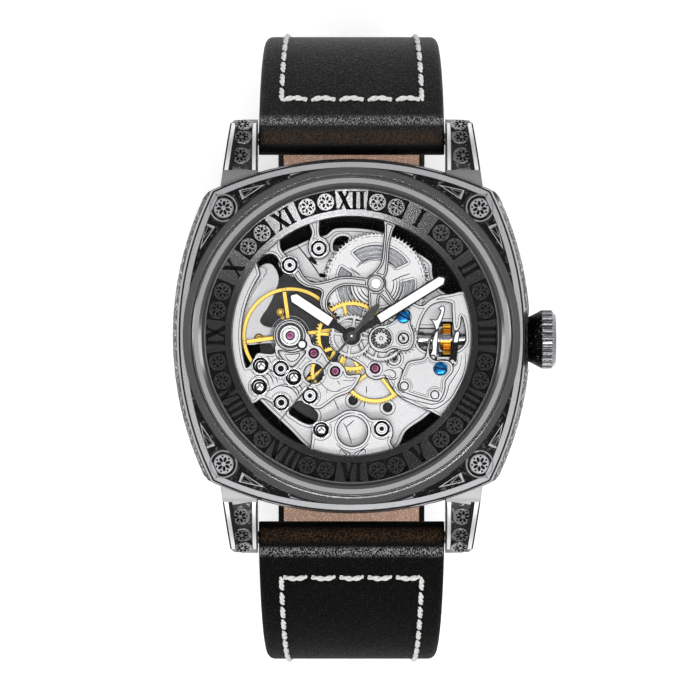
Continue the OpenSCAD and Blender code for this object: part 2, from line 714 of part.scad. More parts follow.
module fourth_wheel() {
    color("#e3b437") at(fourth_at) {
        gear(fourth_leaves, third_module, third_z - 0.2, 0.6, 0, fourth_turn);
        spoked_wheel(fourth_teeth, fourth_module, fourth_z, wheel_t, 0.7, 4, 0, fourth_turn);
        arbor(back_pivot_z, front_pivot_z);
    }
}
escape_r = 1.4;
module escape_wheel() {
    step = 360 / escape_teeth;
    teeth = [for (i = [0:escape_teeth - 1]) for (k = [[0, escape_r], [0.12, escape_r - 0.03],
        [0.42, escape_r - 0.38], [0.85, escape_r - 0.42]])
        polar(k[1], (i + k[0]) * step)];
    color("#c9cbd0") at(escape_at) {
        slab(escape_z, 0.16) difference() {
            polygon(teeth);
            difference() {
                circle(0.78, $fn = 48);
                circle(0.34, $fn = 32);
                for (a = [0, 90]) rotate(a) square([2, 0.2], center = true);
            }
        }
        gear(escape_leaves, fourth_module, fourth_z - 0.1, wheel_t + 0.2, 0, escape_turn);
        arbor(pallet_bridge_z + 0.05, front_pivot_z, 0.14);
    }
}
fork_line = balance_line;
module pallet_fork() {
    reach = norm(balance_at - pallet_at) - 0.67;
    color("#c9cbd0") at(pallet_at) {
        rotate(fork_line) slab(escape_z, 0.16) {
            difference() {
                union() {
                    translate([0, -0.09]) square([reach, 0.18]);
                    translate([reach - 0.12, -0.24]) square([0.36, 0.48]);
                    circle(0.3, $fn = 32);
                    polygon([[-0.05, -1.1], [0.18, -1.05], [0.2, 1.05], [-0.05, 1.1]]);
                }
                translate([reach + 0.06, -0.1]) square([0.5, 0.2]);
            }
        }
        rotate(fork_line) slab(escape_z - 0.04, 0.24) for (s = [-1, 1])
            translate([-0.2, s * 0.98 - 0.09]) square([0.34, 0.18]);
        arbor(pallet_bridge_z + 0.05, front_pivot_z, 0.13);
    }
}
module pallet_bridge() {
    outline = smooth([escape_at + [0.7, -0.6], escape_at + [0.5, 0.6], pallet_at + [0.6, 0.55],
        pallet_at + [-0.5, 0.6],
        pallet_at + [-0.75, -0.5], escape_at + [-0.6, -0.9], [-6.6, -4.6], [-8.3, -5.6], [-9.4, -6.9],
            [-8.6, -7.8], [-7.2, -7.3], [-5.9, -5.6]]);
    color("#b9bbc0") {
        difference() {
            slab(pallet_bridge_z, 0.22) polygon(outline);
            for (p = [escape_at, pallet_at]) at(p) cylinder(r = 0.1 + run_fit, h = 9, $fn = 24);
        }
        at([-8.5, -6.9]) translate([0, 0, pallet_bridge_z]) cylinder(r = 0.5,
            h = plate_z - pallet_bridge_z - skin, $fn = 32);
    }
}
balance_arm_turn = 8;
module balance_wheel() {
    rim_w = 0.5;
    color("#e8bb3c") at(balance_at) {
        tube(balance_r, balance_r - rim_w, rim_z, rim_z + rim_t);
        for (i = [0:3]) rotate(balance_arm_turn + 90 * i) {
            translate([0.4, -0.27, rim_z + 0.05]) cube([balance_r - 0.7, 0.54, 0.3]);
            translate([balance_r - rim_w / 2, 0, rim_z + rim_t - eps]) cylinder(r = 0.2, h = 0.1, $fn = 24);
        }
        tube(0.75, 0.3, rim_z, rim_z + 0.4);
        translate([0, 0, escape_z - 0.16]) cylinder(r = 0.42, h = 0.12, $fn = 32);
        rotate(balance_line + 180) translate([0.33, 0, escape_z - 0.08]) cylinder(r = 0.07, h = 0.26,
            $fn = 16);
        translate([0, 0, 3.02]) cylinder(r = 0.3, h = plate_z - 3.02 - 0.1, $fn = 32);
        translate([0, 0, bridge_z - 0.35]) cylinder(r = 0.1, h = front_pivot_z - bridge_z + 0.35, $fn = 24);
    }
}
module hairspring() {
    turns = hairspring_turns;
    r0 = 0.62;
    pitch = 0.3;
    wire = 0.07;
    n = turns * 20;
    inner = [for (k = [0:n]) polar(r0 + pitch * turns * k / n, 360 * turns * k / n)];
    outer = [for (k = [n:-1:0]) polar(r0 + wire + pitch * turns * k / n, 360 * turns * k / n)];
    color("#8fa0b4") at(balance_at) {
        slab(3.1, 0.18) polygon(concat(inner, outer));
        translate([r0 + pitch * turns + wire / 2, 0, 3.02]) cylinder(r = 0.16, h = 0.26, $fn = 24);
    }
}
module balance_cock() {
    outline = [[-6.5, 0.95], [-6.3, -0.35], [-7.2, -1.25], [-9.2, -0.95], [-11.0, -0.9], [-13.0, -1.1],
        [-14.7, -0.6], [-15.2, 1.5], [-14.6, 4.8], [-12.9, 7.6], [-11.4, 9.1], [-10.1, 9.1],
        [-9.3, 7.2], [-10.4, 4.2], [-11.7, 2.0], [-10.6, 1.15], [-8.8, 1.3]];
    foot = [[-14.9, 3.4], [-13.9, 6.2], [-12.0, 8.6], [-10.9, 8.4], [-11.9, 6.8], [-13.1, 4.9],
        [-14.0, 2.8]];
    low = bridge_z - 0.6;
    color("#c4c6ca") difference() {
        union() {
            slab(low, 0.6) intersection() {
                polygon(smooth(outline));
                circle(movement_r - 0.3);
            }
            slab(low, plate_z - low - skin) intersection() {
                polygon(smooth(foot));
                circle(movement_r - 0.6);
            }
        }
        at(balance_at) cylinder(r = 0.1 + run_fit, h = 9, $fn = 24);
    }
}
// Two brass arms on the balance cock, with the stud and the index of the hairspring at their ends
regulator_ends = [[-9.1, 3.07], [-11.84, -0.3]];
regulator_t = 0.1;
module regulator() {
    low = bridge_z + skin;
    color("#d9a023") union() {
        slab(low, regulator_t) difference() {
            union() {
                at(balance_at) circle(1.2, $fn = 48);
                for (end = regulator_ends) let(v = end - balance_at) {
                    at(balance_at) rotate(atan2(v[1], v[0])) translate([0, -0.25]) square([norm(v), 0.5]);
                    at(end) circle(0.62, $fn = 40);
                }
            }
            at(balance_at) circle(0.75, $fn = 32);
        }
        for (end = regulator_ends) at(end) {
            translate([0, 0, low + regulator_t / 2]) cylinder(r = 0.5, h = 0.28, $fn = 40);
            translate([0, 0, low + regulator_t]) cylinder(r = 0.3, h = 0.35, $fn = 40);
        }
    }
}
module shock_setting() {
    color("#d3d5d9") at(balance_at) {
        difference() {
            tube(1.3, 0.6, plate_z + 0.3, plate_top + 0.25);
            translate([0, 0, plate_top]) tube(1.1, 0.85, -0.05, 1);
        }
        slab(plate_top + 0.1, 0.1) difference() {
            circle(0.98, $fn = 48);
            circle(0.66, $fn = 48);
            translate([0, 0.9]) square([0.5, 1], center = true);
        }
    }
}

// Barrel, its spring and the winding wheels
drum_r = 5.95;
drum_wall = 0.5;
window_in = 3.3;
window_out = 4.9;
arbor_r = 0.62;
module barrel_window2d() { polygon(concat(arc(window_in, -42, 42, 10), arc(window_out, 46, -46, 10))); }
module barrel() {
    color("#d3d5d8") at(barrel_at) difference() {
        union() {
            translate([0, 0, drum_z]) cylinder(r = drum_r, h = drum_top - drum_z);
            slab(drum_tooth_z, drum_top - drum_tooth_z) gear2d(barrel_teeth, barrel_module, barrel_turn);
        }
        translate([0, 0, drum_z + 0.2]) cylinder(r = drum_r - drum_wall, h = drum_top - drum_z - 0.4);
        translate([0, 0, drum_z - 1]) cylinder(r = arbor_r + run_fit, h = 5, $fn = 48);
        for (a = [80, 200, 320]) rotate(a) slab(drum_top - 0.25, 1) barrel_window2d();
    }
}
module mainspring() {
    wire = 0.14;
    r0 = 1.5;
    r1 = drum_r - drum_wall - 0.25;
    n = mainspring_turns * 24;
    inner = [for (k = [0:n]) polar(mix(r0, r1 - wire, k / n), 360 * mainspring_turns * k / n)];
    outer = [for (k = [n:-1:0]) polar(mix(r0, r1 - wire, k / n) + wire, 360 * mainspring_turns * k / n)];
    color("#b4b8bd") at(barrel_at) slab(drum_z + 0.23, drum_top - drum_z - 0.5) polygon(concat(inner, outer));
}
module barrel_arbor() {
    color("#c9cbd0") at(barrel_at) {
        translate([0, 0, ratchet_z - 0.12]) cylinder(r = arbor_r,
            h = front_z + front_t + 0.12 - ratchet_z, $fn = 48);
        translate([0, 0, drum_z + 0.25]) cylinder(r = 1.25, h = drum_top - drum_z - 0.5, $fn = 48);
    }
}
module ratchet_wheel() {
    color("#c0c3c8") at(barrel_at) difference() {
        slab(ratchet_z, ratchet_t) gear2d(ratchet_teeth, winding_module, ratchet_turn);
        translate([0, 0, ratchet_z - 1]) cylinder(r = arbor_r, h = 3, $fn = 48);
        translate([0, 0, ratchet_z - 0.02]) tube(4.2, 1.6, -0.05, 0.12);
    }
}
crown_stud_r = 0.9;
module crown_wheel() {
    color("#c0c3c8") at(crown_wheel_at) difference() {
        slab(ratchet_z, ratchet_t) gear2d(crown_wheel_teeth, winding_module, crown_wheel_turn);
        translate([0, 0, ratchet_z - 1]) cylinder(r = crown_stud_r + run_fit, h = 3, $fn = 48);
        translate([0, 0, ratchet_z - 0.02]) tube(2.8, 1.5, -0.05, 0.12);
    }
}
click_line = 150;
click_at = barrel_at + polar(winding_module * (ratchet_teeth / 2 + 0.85) + 1.45, click_line);
module click() {
    tip = barrel_at + polar(winding_module * (ratchet_teeth / 2 + 0.85) + 0.06, click_line - 8);
    a = atan2(tip[1] - click_at[1], tip[0] - click_at[0]);
    color("#b4b8bd") difference() {
        slab(ratchet_z, 0.3) {
            at(click_at) circle(0.62, $fn = 32);
            polygon([click_at + polar(0.55, a + 90), click_at + polar(0.55, a - 90), tip + polar(0.05,
                a - 90),
                tip + polar(0.05, a + 90)]);
        }
        at(click_at) cylinder(r = 0.25 + run_fit, h = 9, $fn = 24);
    }
}

// Main plate: smooth pierced pieces on a thin ring, seen through the dial ring
lobe_reach = 15.2; // how far out the arms of the plate are drawn
ring_in = min(movement_r - 0.4, lobe_reach);
seat_screws = [[-4.16, 11.15], [-7.86, 9.03]];
plate_screws = [[-8.94, -8.46], [-5.3, -7.58], [-3.89, -11.9], [3.83, -11.77], [-11.57, -3.74],
    [-9.0, -4.14], [-11.77, -6.44], [-7.39, -5.22]];
lower_ring = [0.1, -12.1];
seat_lobe = [[-9.2, 12.6], [-8.95, 11.2], [-8.2, 10.25], [-7.0, 9.95], [-6.65, 9.0], [-6.95, 8.05],
    [-7.9, 7.8], [-8.9, 8.2], [-9.2, 9.3], [-9.9, 10.3], [-11.3, 10.2], [-12.9, 9.2], [-12.4, 10.8],
    [-10.6, 12.3]];
seat_leg = [[-5.6, 14.8], [-5.1, 13.2], [-5.5, 12.0], [-5.55, 10.9], [-5.0, 9.95], [-3.9, 9.75],
    [-2.95, 10.4], [-2.75, 11.4], [-3.3, 12.4], [-4.05, 13.0], [-4.1, 15.2]];
lower_left = [[-15.6, -4.6], [-14.3, -4.3], [-13.2, -3.9], [-12.6, -3.0], [-12.0, -2.1], [-10.9, -2.15],
    [-9.9, -2.1], [-9.7, -1.0], [-8.0, 1.2], [-6.2, 0.8], [-5.3, 0.1], [-4.9, -1.0], [-4.0, -1.3],
    [-3.3, -2.2], [-2.7, -3.1], [-1.6, -3.25], [-0.8, -4.1], [-0.5, -4.85], [0.3, -4.85], [1.25, -4.85],
    [0.65, -6.2], [-0.3, -7.2], [-1.9, -7.85], [-3.0, -8.65], [-3.95, -9.25], [-4.9, -9.2],
    [-6.5, -8.3], [-7.5, -8.95], [-8.7, -9.55], [-9.5, -9.2], [-10.4, -8.4], [-11.4, -8.0],
    [-12.4, -8.6], [-13.9, -8.4]];
right_side = [[-3.0, -0.9], [-2.4, 1.2], [-0.8, 2.2], [1.5, 2.0], [3.4, 2.6], [5.6, 3.7], [7.6, 4.3],
    [8.9, 3.9], [9.9, 4.6], [11.1, 5.2], [12.5, 5.4], [14.6, 5.6], [15.6, 3.0], [15.6, 0], [15.0, -4.5],
    [12.3, -10.0], [9.9, -9.6], [8.0, -8.8], [6.1, -7.8], [5.0, -6.4], [4.3, -5.4], [3.0, -5.6],
    [1.9, -5.0], [1.5, -4.0], [0.2, -3.1], [-1.4, -2.4]];
lower_middle = [[-4.9, -11.6], [-3.7, -10.9], [-2.4, -10.4], [-0.6, -9.4], [1.3, -9.6], [2.5, -10.5],
    [3.5, -10.5], [4.6, -10.7], [5.2, -11.5], [5.3, -12.6], [5.0, -13.5], [5.6, -15.4], [0, -15.6],
    [-4.9, -15.4], [-5.1, -13.1]];
keyless_arch = [[8.5, -1.0], [8.7, 1.4], [9.6, 3.3], [10.6, 4.1], [11.8, 4.3], [13.0, 3.95],
    [13.75, 2.95], [14.2, 1.85], [14.45, 0.3], [14.4, -0.8], [13.5, -1.7], [11.6, -2.1], [9.6, -1.9]];
arch_lobe = [[12.8, 4.2], [13.9, 2.9], [13.85, 1.2], [13.4, 0.6], [12.95, 0.8], [12.8, 2.2]];
tulip = [[-9.3, -1.85], [-7.6, -2.15], [-5.9, -1.85], [-6.4, -2.75], [-7.6, -3.9], [-8.7, -2.9]];
plate_pivots = [third_at, fourth_at, escape_at, pallet_at];
clip_post = [5.42, -2.86];
shock_disc_r = 2.2;
module main_plate2d() {
    difference() {
        union() {
            difference() {
                circle(movement_r, $fn = 180);
                circle(ring_in, $fn = 180);
            }
            intersection() {
                circle(movement_r - 0.2, $fn = 180);
                union() {
                    polygon(smooth(seat_lobe));
                    polygon(smooth(seat_leg));
                    polygon(smooth(lower_left));
                    polygon(smooth(right_side));
                    polygon(smooth(lower_middle));
                    polygon(concat(
                        arc(movement_r + 0.3, 140, 206, 16), arc(lobe_reach - 1.25, 203, 146, 16)));
                    at(balance_at) circle(shock_disc_r, $fn = 64);
                }
            }
        }
        difference() {
            polygon(smooth(keyless_arch));
            polygon(smooth(arch_lobe));
        }
        at(lower_ring) circle(1.9, $fn = 64);
        at([-4.83, -4.75]) circle(1.2, $fn = 48);
    }
}
module screw_holes(places, r) { for (p = places) at(p) translate([0, 0, -1]) cylinder(r = r, h = 20,
    $fn = 32); }
seat_r = 0.95;
module plate_post(p, r, top) { at(p) translate([0, 0, plate_top - 0.2]) cylinder(r = r,
    h = top - plate_top + 0.2, $fn = 40); }
spacer_arcs = [[8, 152], [196, 352]];
pilot_block = [6.55, -0.95, 0.95, 1.5];
module main_plate() {
    bridge_top = bridge_z + bridge_t + skin;
    color("#d9dbde") difference() {
        union() {
            slab(plate_z, plate_t) main_plate2d();
            slab(bridge_top, plate_z - bridge_top + eps) for (s = spacer_arcs)
                polygon(concat(arc(movement_r - 0.05, s[0], s[1], 24), arc(ring_in + 0.04, s[1], s[0], 24)));
            translate([pilot_block[0], pilot_block[1], bridge_top])
                cube([pilot_block[2], pilot_block[3], plate_z - bridge_top + eps]);
            plate_post(motion_screw, motion_boss_r, motion_cover_z - skin);
            for (p = cover_pins) plate_post(p, cover_pin_r, setting_cover_z + cover_t + 0.12);
            for (p = [lever_pivot, yoke_pivot]) plate_post(p, pivot_r, lever_z + lever_t + skin);
            plate_post(minute_wheel_at, minute_post_r, motion_z + 0.5);
            plate_post(clip_post, 0.8, plate_top + 0.15);
        }
        for (p = concat(seat_screws, plate_screws)) at(p) translate([0, 0,
            plate_top - 0.45]) cylinder(r = seat_r, h = 2, $fn = 48);
        screw_holes(seat_screws, 0.5);
        screw_holes(plate_screws, 0.5);
        screw_holes(plate_pivots, jewel_r + skin / 2);
        at(balance_at) translate([0, 0, plate_z - 1]) cylinder(r = 0.62, h = 5, $fn = 32);
        at(balance_at) translate([0, 0, plate_z + 0.28]) cylinder(r = 1.3 + skin, h = 5, $fn = 48);
        at(balance_at) translate([0, 0, plate_top - 0.12]) tube(1.85, 1.6, 0, 1);
        slab(plate_top - 0.25, 1) polygon(smooth(tulip));
        for (p = [motion_screw, cover_screw]) at(p) translate([0, 0, plate_top - 0.35])
            cylinder(r = screw_shaft_r + skin / 2, h = 3, $fn = 24);
        at(clip_post) translate([0, 0, plate_top - 0.4]) cylinder(r = 0.5, h = 2, $fn = 32);
        cylinder(r = 0.33 + run_fit, h = 20, $fn = 48);
        translate([stem_in - 0.1, stem_y - 1.4, stem_z - 1.4]) cube([20, 2.8, 2.8]);
        translate([stem_in - 2, stem_y, stem_z]) rotate([0, 90, 0]) cylinder(r = stem_pilot_r + run_fit,
            h = 4, $fn = 24);
        translate([pinion_x - 0.15, stem_y - 2.15, stem_z - 2.1]) cube([pinion_len + 0.3, 4.3, 6]);
    }
}
front_hub_r = 1.3;
module front_bridge() {
    h = barrel_at;
    up_arm = [h + [-0.5, 1.0], h + [0.6, 2.6], h + [0.9, 4.8], h + [1.05, 7.1], h + [0.9, 8.1], h + [1.4,
        8.7], h + [2.4, 8.5],
        h + [2.6, 7.6], h + [2.2, 6.6], h + [1.75, 4.8], h + [1.6, 2.6], h + [1.2, 0.9]];
    left_arm = [h + [-0.9, 0.55], [0.9, 7.5], [-0.3, 7.65], [-1.6, 7.55], [-2.9, 7.2], [-4.0, 6.95],
        [-5.1, 6.95], [-6.0, 7.6], [-6.7, 8.7], [-7.9, 9.2], [-8.3, 8.4], [-7.6, 7.9], [-6.9, 6.9],
        [-5.8, 6.2], [-4.7, 5.95], [-3.9, 5.6], [-4.1, 4.5], [-3.95, 3.5], [-3.4, 2.7], [-2.6, 2.3],
        [-2.3, 2.8], [-2.95, 3.6], [-2.95, 4.6], [-2.5, 5.4], [-1.7, 6.1], [-0.6, 6.4],
        [0.8, 6.3], h + [-0.9, -0.5]];
    right_arm = [h + [0.3, -1.1], h + [1.5, -2.6], [6.1, 2.9], [7.4, 3.4],
        [6.9, 4.3], h + [2.5, -2.3], h + [1.2, -0.5]];
    down_arm = [h + [-0.9, -0.9], [2.15, 4.6], [2.2, 3.5], [2.8, 3.15], [3.45, 3.5],
        [3.5, 4.6], h + [0.5, -1.1]];
    color("#c9cbd0") difference() {
        union() {
            slab(front_z, front_t) difference() {
                intersection() {
                    circle(dial_in_r + 0.05, $fn = 180);
                    union() {
                        polygon(smooth(up_arm));
                        polygon(smooth(left_arm));
                        polygon(smooth(right_arm));
                        polygon(smooth(down_arm));
                        at(h) circle(front_hub_r, $fn = 64);
                        at(seat_screws[1]) circle(1.15, $fn = 48);
                    }
                }
                at(motion_screw) circle(1.3, $fn = 48);
            }
            at(h) translate([0, 0, drum_top + 0.1]) cylinder(r = front_hub_r, h = front_z - drum_top,
                $fn = 64);
        }
        at(h) translate([0, 0, drum_top - 1]) cylinder(r = arbor_r + run_fit, h = 5, $fn = 48);
        at(h) translate([0, 0, front_z + front_t - 0.15]) cylinder(r = 1.0, h = 5, $fn = 48);
        at(seat_screws[1]) cylinder(r = 0.5, h = 9, $fn = 32);
        at(seat_screws[1]) translate([0, 0, front_z + 0.12]) cylinder(r = seat_r, h = 9, $fn = 48);
    }
}
// Lower plates, behind the wheels
module train_bridge() {
    outline = [[-1.5, -1.6], [0.6, -1.5], [2.6, -1.6], [5.5, -2.4], [9.0, -3.4], [12.5, -4.8],
        [14.6, -5.9], [13.9, -7.6], [11.2, -9.0], [9.2, -10.6], [7.0, -12.2], [5.4, -14.6], [0, -15.6],
        [-4.8, -14.8], [-8.1, -11.8], [-11.4, -8.6], [-12.6, -7.0], [-10.4, -6.6], [-7.4, -6.9],
        [-4.4, -6.0], [-2.2, -3.9]];
    window = [[-7.6, -8.9], [-6.5, -8.3], [-5.0, -9.3], [-4.4, -10.0], [-4.6, -10.8], [-5.3, -11.2],
        [-6.3, -10.9], [-7.4, -10.2], [-7.9, -9.8]];
    color("#e2e3e6") difference() {
        slab(bridge_z, bridge_t) difference() {
            intersection() {
                polygon(smooth(outline));
                circle(movement_r - 0.15, $fn = 180);
            }
            at(balance_at) circle(balance_r + 0.35, $fn = 96);
            polygon([[10.35, -2], [10.35, 2], [14.5, 2], [14.5, -2.6]]);
            polygon(smooth(window));
        }
        for (p = [third_at, fourth_at]) at(p) cylinder(r = jewel_r + skin / 2, h = 9, $fn = 32);
        screw_holes([[-3.89, -11.9], [3.83, -11.77]], 0.5);
        screw_holes([[0.2, -8.2], [4.6, -9.1]], 0.5);
    }
}
module barrel_bridge() {
    outline = [[-9.3, 10.2], [-8.65, 10.95], [-6.8, 11.8], [-5.0, 12.6], [-3.3, 13.0], [-2.3, 13.76],
        [-0.8, 13.9], [1.5, 13.8], [3.7, 13.4], [5.8, 12.4], [7.6, 11.2], [9.3, 10.2], [10.3, 9.3],
        [10.4, 8.0], [10.9, 6.6], [11.9, 5.6], [14.0, 4.8], [15.4, 2.2], [15.5, -1], [14.8, -3.6],
        [12.8, -4.5], [9.0, -3.1], [5.5, -2.1], [2.7, -1.3], [0.6, -1.1], [-0.9, -0.2], [-1.2, 2.4],
        [-2.4, 4.9], [-3.6, 6.3], [-5.2, 7.0], [-7.0, 7.3], [-8.6, 8.0], [-9.4, 9.0]];
    tooth_window = [[-2.2, 11.0], [-2.25, 11.9], [-1.8, 12.5], [-1.0, 12.7], [-0.4, 12.4], [-0.9, 11.5],
        [-1.6, 11.0]];
    groove_x = clutch_x - 0.4;
    color("#e2e3e6") difference() {
        union() {
            slab(bridge_z, bridge_t) difference() {
                intersection() {
                    polygon(smooth(outline));
                    circle(movement_r - 0.15, $fn = 180);
                }
                polygon(smooth(tooth_window));
            }
            at(crown_wheel_at) translate([0, 0, ratchet_z - 0.1])
                cylinder(r = crown_stud_r, h = bridge_z - ratchet_z + 0.1 + eps, $fn = 48);
            at(click_at) translate([0, 0, ratchet_z - 0.02]) cylinder(r = 0.25,
                h = bridge_z - ratchet_z + 0.1, $fn = 24);
        }
        at(barrel_at) cylinder(r = arbor_r + run_fit, h = 9, $fn = 48);
        translate([pinion_x - 0.15, stem_y - 2.15, 0]) cube([pinion_len + 0.3, 4.3, 9]);
        translate([groove_x, stem_y - 1.35, bridge_z + bridge_t - 0.2]) cube([pinion_x - groove_x, 2.7, 9]);
        translate([0, 0, bridge_z + 0.12]) cylinder(r = 0.1 + run_fit, h = 9, $fn = 32);
    }
}
module jewel(z, t) {
    difference() {
        translate([0, 0, z]) cylinder(r = jewel_r, h = t, $fn = 32);
        cylinder(r = 0.1 + run_fit, h = 20, $fn = 24);
        translate([0, 0, z + t - 0.12]) cylinder(r1 = 0.13, r2 = 0.34, h = 0.13, $fn = 24);
    }
}
module jewels() {
    color("#c2468f") {
        for (p = plate_pivots) at(p) jewel(plate_z + 0.15, plate_t - 0.1);
        for (p = [third_at, fourth_at]) at(p) jewel(bridge_z + 0.1, 0.45);
        at(balance_at) translate([0, 0, plate_z + 0.05]) {
            tube(0.56, 0.1 + run_fit, 0, 0.35);
            translate([0, 0, 0.7]) cylinder(r = 0.56, h = 0.32, $fn = 32);
        }
    }
}
module slotted_head(r, t, turn) {
    difference() {
        union() {
            cylinder(r = r, h = t - 0.1, $fn = 40);
            cylinder(r = r - 0.1, h = t, $fn = 40);
        }
        rotate(turn) translate([-r - 1, -0.1, t - 0.16]) cube([2 * r + 2, 0.2, 1]);
    }
}
module socket_head(t) {
    difference() {
        cylinder(r = 0.72, h = t, $fn = 40);
        translate([0, 0, 0.14]) cylinder(r = 0.36, h = 1, $fn = 6);
    }
}
module bridge_screws() {
    color("#cfd1d5") {
        for (p = concat(plate_screws, [seat_screws[0]])) at(p) {
            translate([0, 0, plate_top - 0.43]) socket_head(0.32);
            translate([0, 0, plate_z + 0.05]) cylinder(r = 0.48, h = plate_t - 0.48 + eps, $fn = 24);
        }
        at(seat_screws[1]) {
            translate([0, 0, front_z + 0.14]) socket_head(0.26);
            translate([0, 0, plate_z + 0.05]) cylinder(r = 0.48, h = front_z - plate_z + 0.1, $fn = 24);
        }
    }
}
module blue_screws() {
    color("#1c6fb4") for (v = [[motion_screw, motion_cover_z, -30],
        [cover_screw, setting_cover_z, -12]]) at(v[0]) {
        translate([0, 0, v[1] + cover_t + skin]) slotted_head(0.79, 0.3, v[2]);
        translate([0, 0, plate_top - 0.33]) cylinder(r = screw_shaft_r,
            h = v[1] + cover_t - plate_top + 0.45, $fn = 24);
    }
}

// Hands: a frame with a slot for its pale insert
function blade(len, w, from) = [[0.4, -0.3], [from - 0.5, -w / 2 * 0.62], [from, -w / 2],
    [len - 0.62, -w / 2], [len, -0.12], [len, 0.12], [len - 0.62, w / 2], [from, w / 2],
    [from - 0.5, w / 2 * 0.62], [0.4, 0.3]];
// Slot for the pale insert, or the insert itself when it is drawn in
function slot(len, w, from, in) = let(h = w / 2 - 0.2 - in) [[from + 0.1 + in, -h],
    [len - 0.75 - in / 2, -h], [len - 0.3 - in, -0.08], [len - 0.3 - in, 0.08],
    [len - 0.75 - in / 2, h], [from + 0.1 + in, h]];
hour_from = 3.1;
minute_from = 4;
module hand(len, w, from, z, turn, hub, bore) {
    rotate(turn) slab(z, hand_t) difference() {
        union() {
            circle(hub, $fn = 48);
            polygon(blade(len, w, from));
        }
        polygon(slot(len, w, from, 0));
        circle(bore, $fn = 48);
    }
}
module hour_hand() { color("#3a3b3d") hand(hour_len, hand_w, hour_from, hour_hand_z, hour_at, 1.15, 0.9); }
module minute_hand() {
    color("#3a3b3d")
        hand(minute_len, hand_w * 0.94, minute_from, minute_hand_z, minute_at, 1.05, 0.62);
}
module insert(len, w, from, z, turn) {
    rotate(turn) slab(z + 0.03, hand_t - 0.03) polygon(slot(len, w, from, 0.01));
}
module hour_insert() { color("#f4f6f4") insert(hour_len, hand_w, hour_from, hour_hand_z, hour_at); }
module minute_insert() {
    color("#f4f6f4") insert(minute_len, hand_w * 0.94, minute_from, minute_hand_z, minute_at);
}
module seconds_hand() {
    color("#1d1d1f") rotate(seconds_at) {
        slab(seconds_hand_z, 0.16) difference() {
            union() {
                circle(0.62, $fn = 48);
                polygon([[0, -0.16], [seconds_len, -0.06], [seconds_len, 0.06], [0, 0.16]]);
                polygon([[0, -0.2], [-2.2, -0.26], [-3.2, -0.5], [-4.3, -0.46], [-5.3, -0.2],
                    [-5.3, 0.2], [-4.3, 0.46], [-3.2, 0.5], [-2.2, 0.26], [0, 0.2]]);
            }
            circle(0.16, $fn = 32);
        }
        translate([0, 0, seconds_hand_z + 0.15]) tube(0.36, 0.16, 0, 0.13);
    }
}

// Strap: each half follows a run of bends round the wrist, [radius, turn] or [0, length]
start_slope = 15;
upper_bend = 16.6;
lower_bend = 20.4;
side_bend = [42, 25];
corner_bend = [14, 90 - 25];
thick_from_z = 0;
thin_from_z = -30;
function step_on(p, s, f) = s[0] == 0
    ? [p[0] + s[1] * f * cos(p[2]), p[1] - s[1] * f * sin(p[2]), p[2]]
    : [p[0] + s[0] * (sin(p[2] + s[1] * f) - sin(p[2])), p[1] + s[0] * (cos(p[2] + s[1] * f) - cos(p[2])),
       p[2] + s[1] * f];
function steps(s) = s[0] == 0 ? 2 : max(2, round(abs(s[1]) / 6));
function walk(p, runs, i = 0) = i == len(runs) ? [] : concat(
    [for (k = [1:steps(runs[i])]) step_on(p, runs[i], k / steps(runs[i]))],
    walk(step_on(p, runs[i], 1), runs, i + 1));
function last(v) = v[len(v) - 1];
function strap_t(z) =
    mix(strap_thin, strap_thick, min(1, max(0, (z - thin_from_z) / (thick_from_z - thin_from_z))));
function across(p, side) = [p[0], p[1]] + side * strap_t(p[1]) / 2 * [sin(p[2]), cos(p[2])];

short_start = [bar_up, bar_z, start_slope];
short_bends = [[upper_bend, 90 - start_slope], [0, short_side], side_bend, corner_bend];
flat_start = last(walk(short_start, short_bends));
flat_z = flat_start[1];
short_path = concat([short_start], walk(short_start, concat(short_bends, [[0, flat_start[0] - buckle_y]])));
fold_r = buckle_bar_r + 1.05;
buckle_bar_z = flat_z - strap_thin / 2 + fold_r;
tail_z = flat_z - strap_thin - strap_gap;
floor_z = tail_z - strap_thin / 2 - strap_gap - keeper_t;
crossbar_y = buckle_y - buckle_reach;
long_z = floor_z + buckle_wire + strap_gap + strap_thin / 2;

// The long half passes over the crossbar, dips below the buckle bar and follows the short half outside
long_start = [bar_low, bar_z, start_slope];
long_down = [[lower_bend, 90 - start_slope], side_bend, corner_bend];
long_side = last(walk(long_start, long_down))[1] - long_z;
long_bends = [long_down[0], [0, long_side], side_bend, corner_bend];
long_flat = last(walk(long_start, long_bends));
dip_r = 14;
dip = 9;
dip_line = (long_z - tail_z - 2 * dip_r * (1 - cos(dip))) / sin(dip);
dip_len = 2 * dip_r * sin(dip) + dip_line * cos(dip);
dip_from = crossbar_y + 1.2;
tail_turn = 62;
long_path = concat([long_start], walk(long_start, concat(long_bends, [[0, long_flat[0] + dip_from],
    [-dip_r, -dip], [0, dip_line], [dip_r, dip], [0, flat_start[0] - dip_from - dip_len],
    [corner_bend[0] + strap_thin + strap_gap, tail_turn]])));

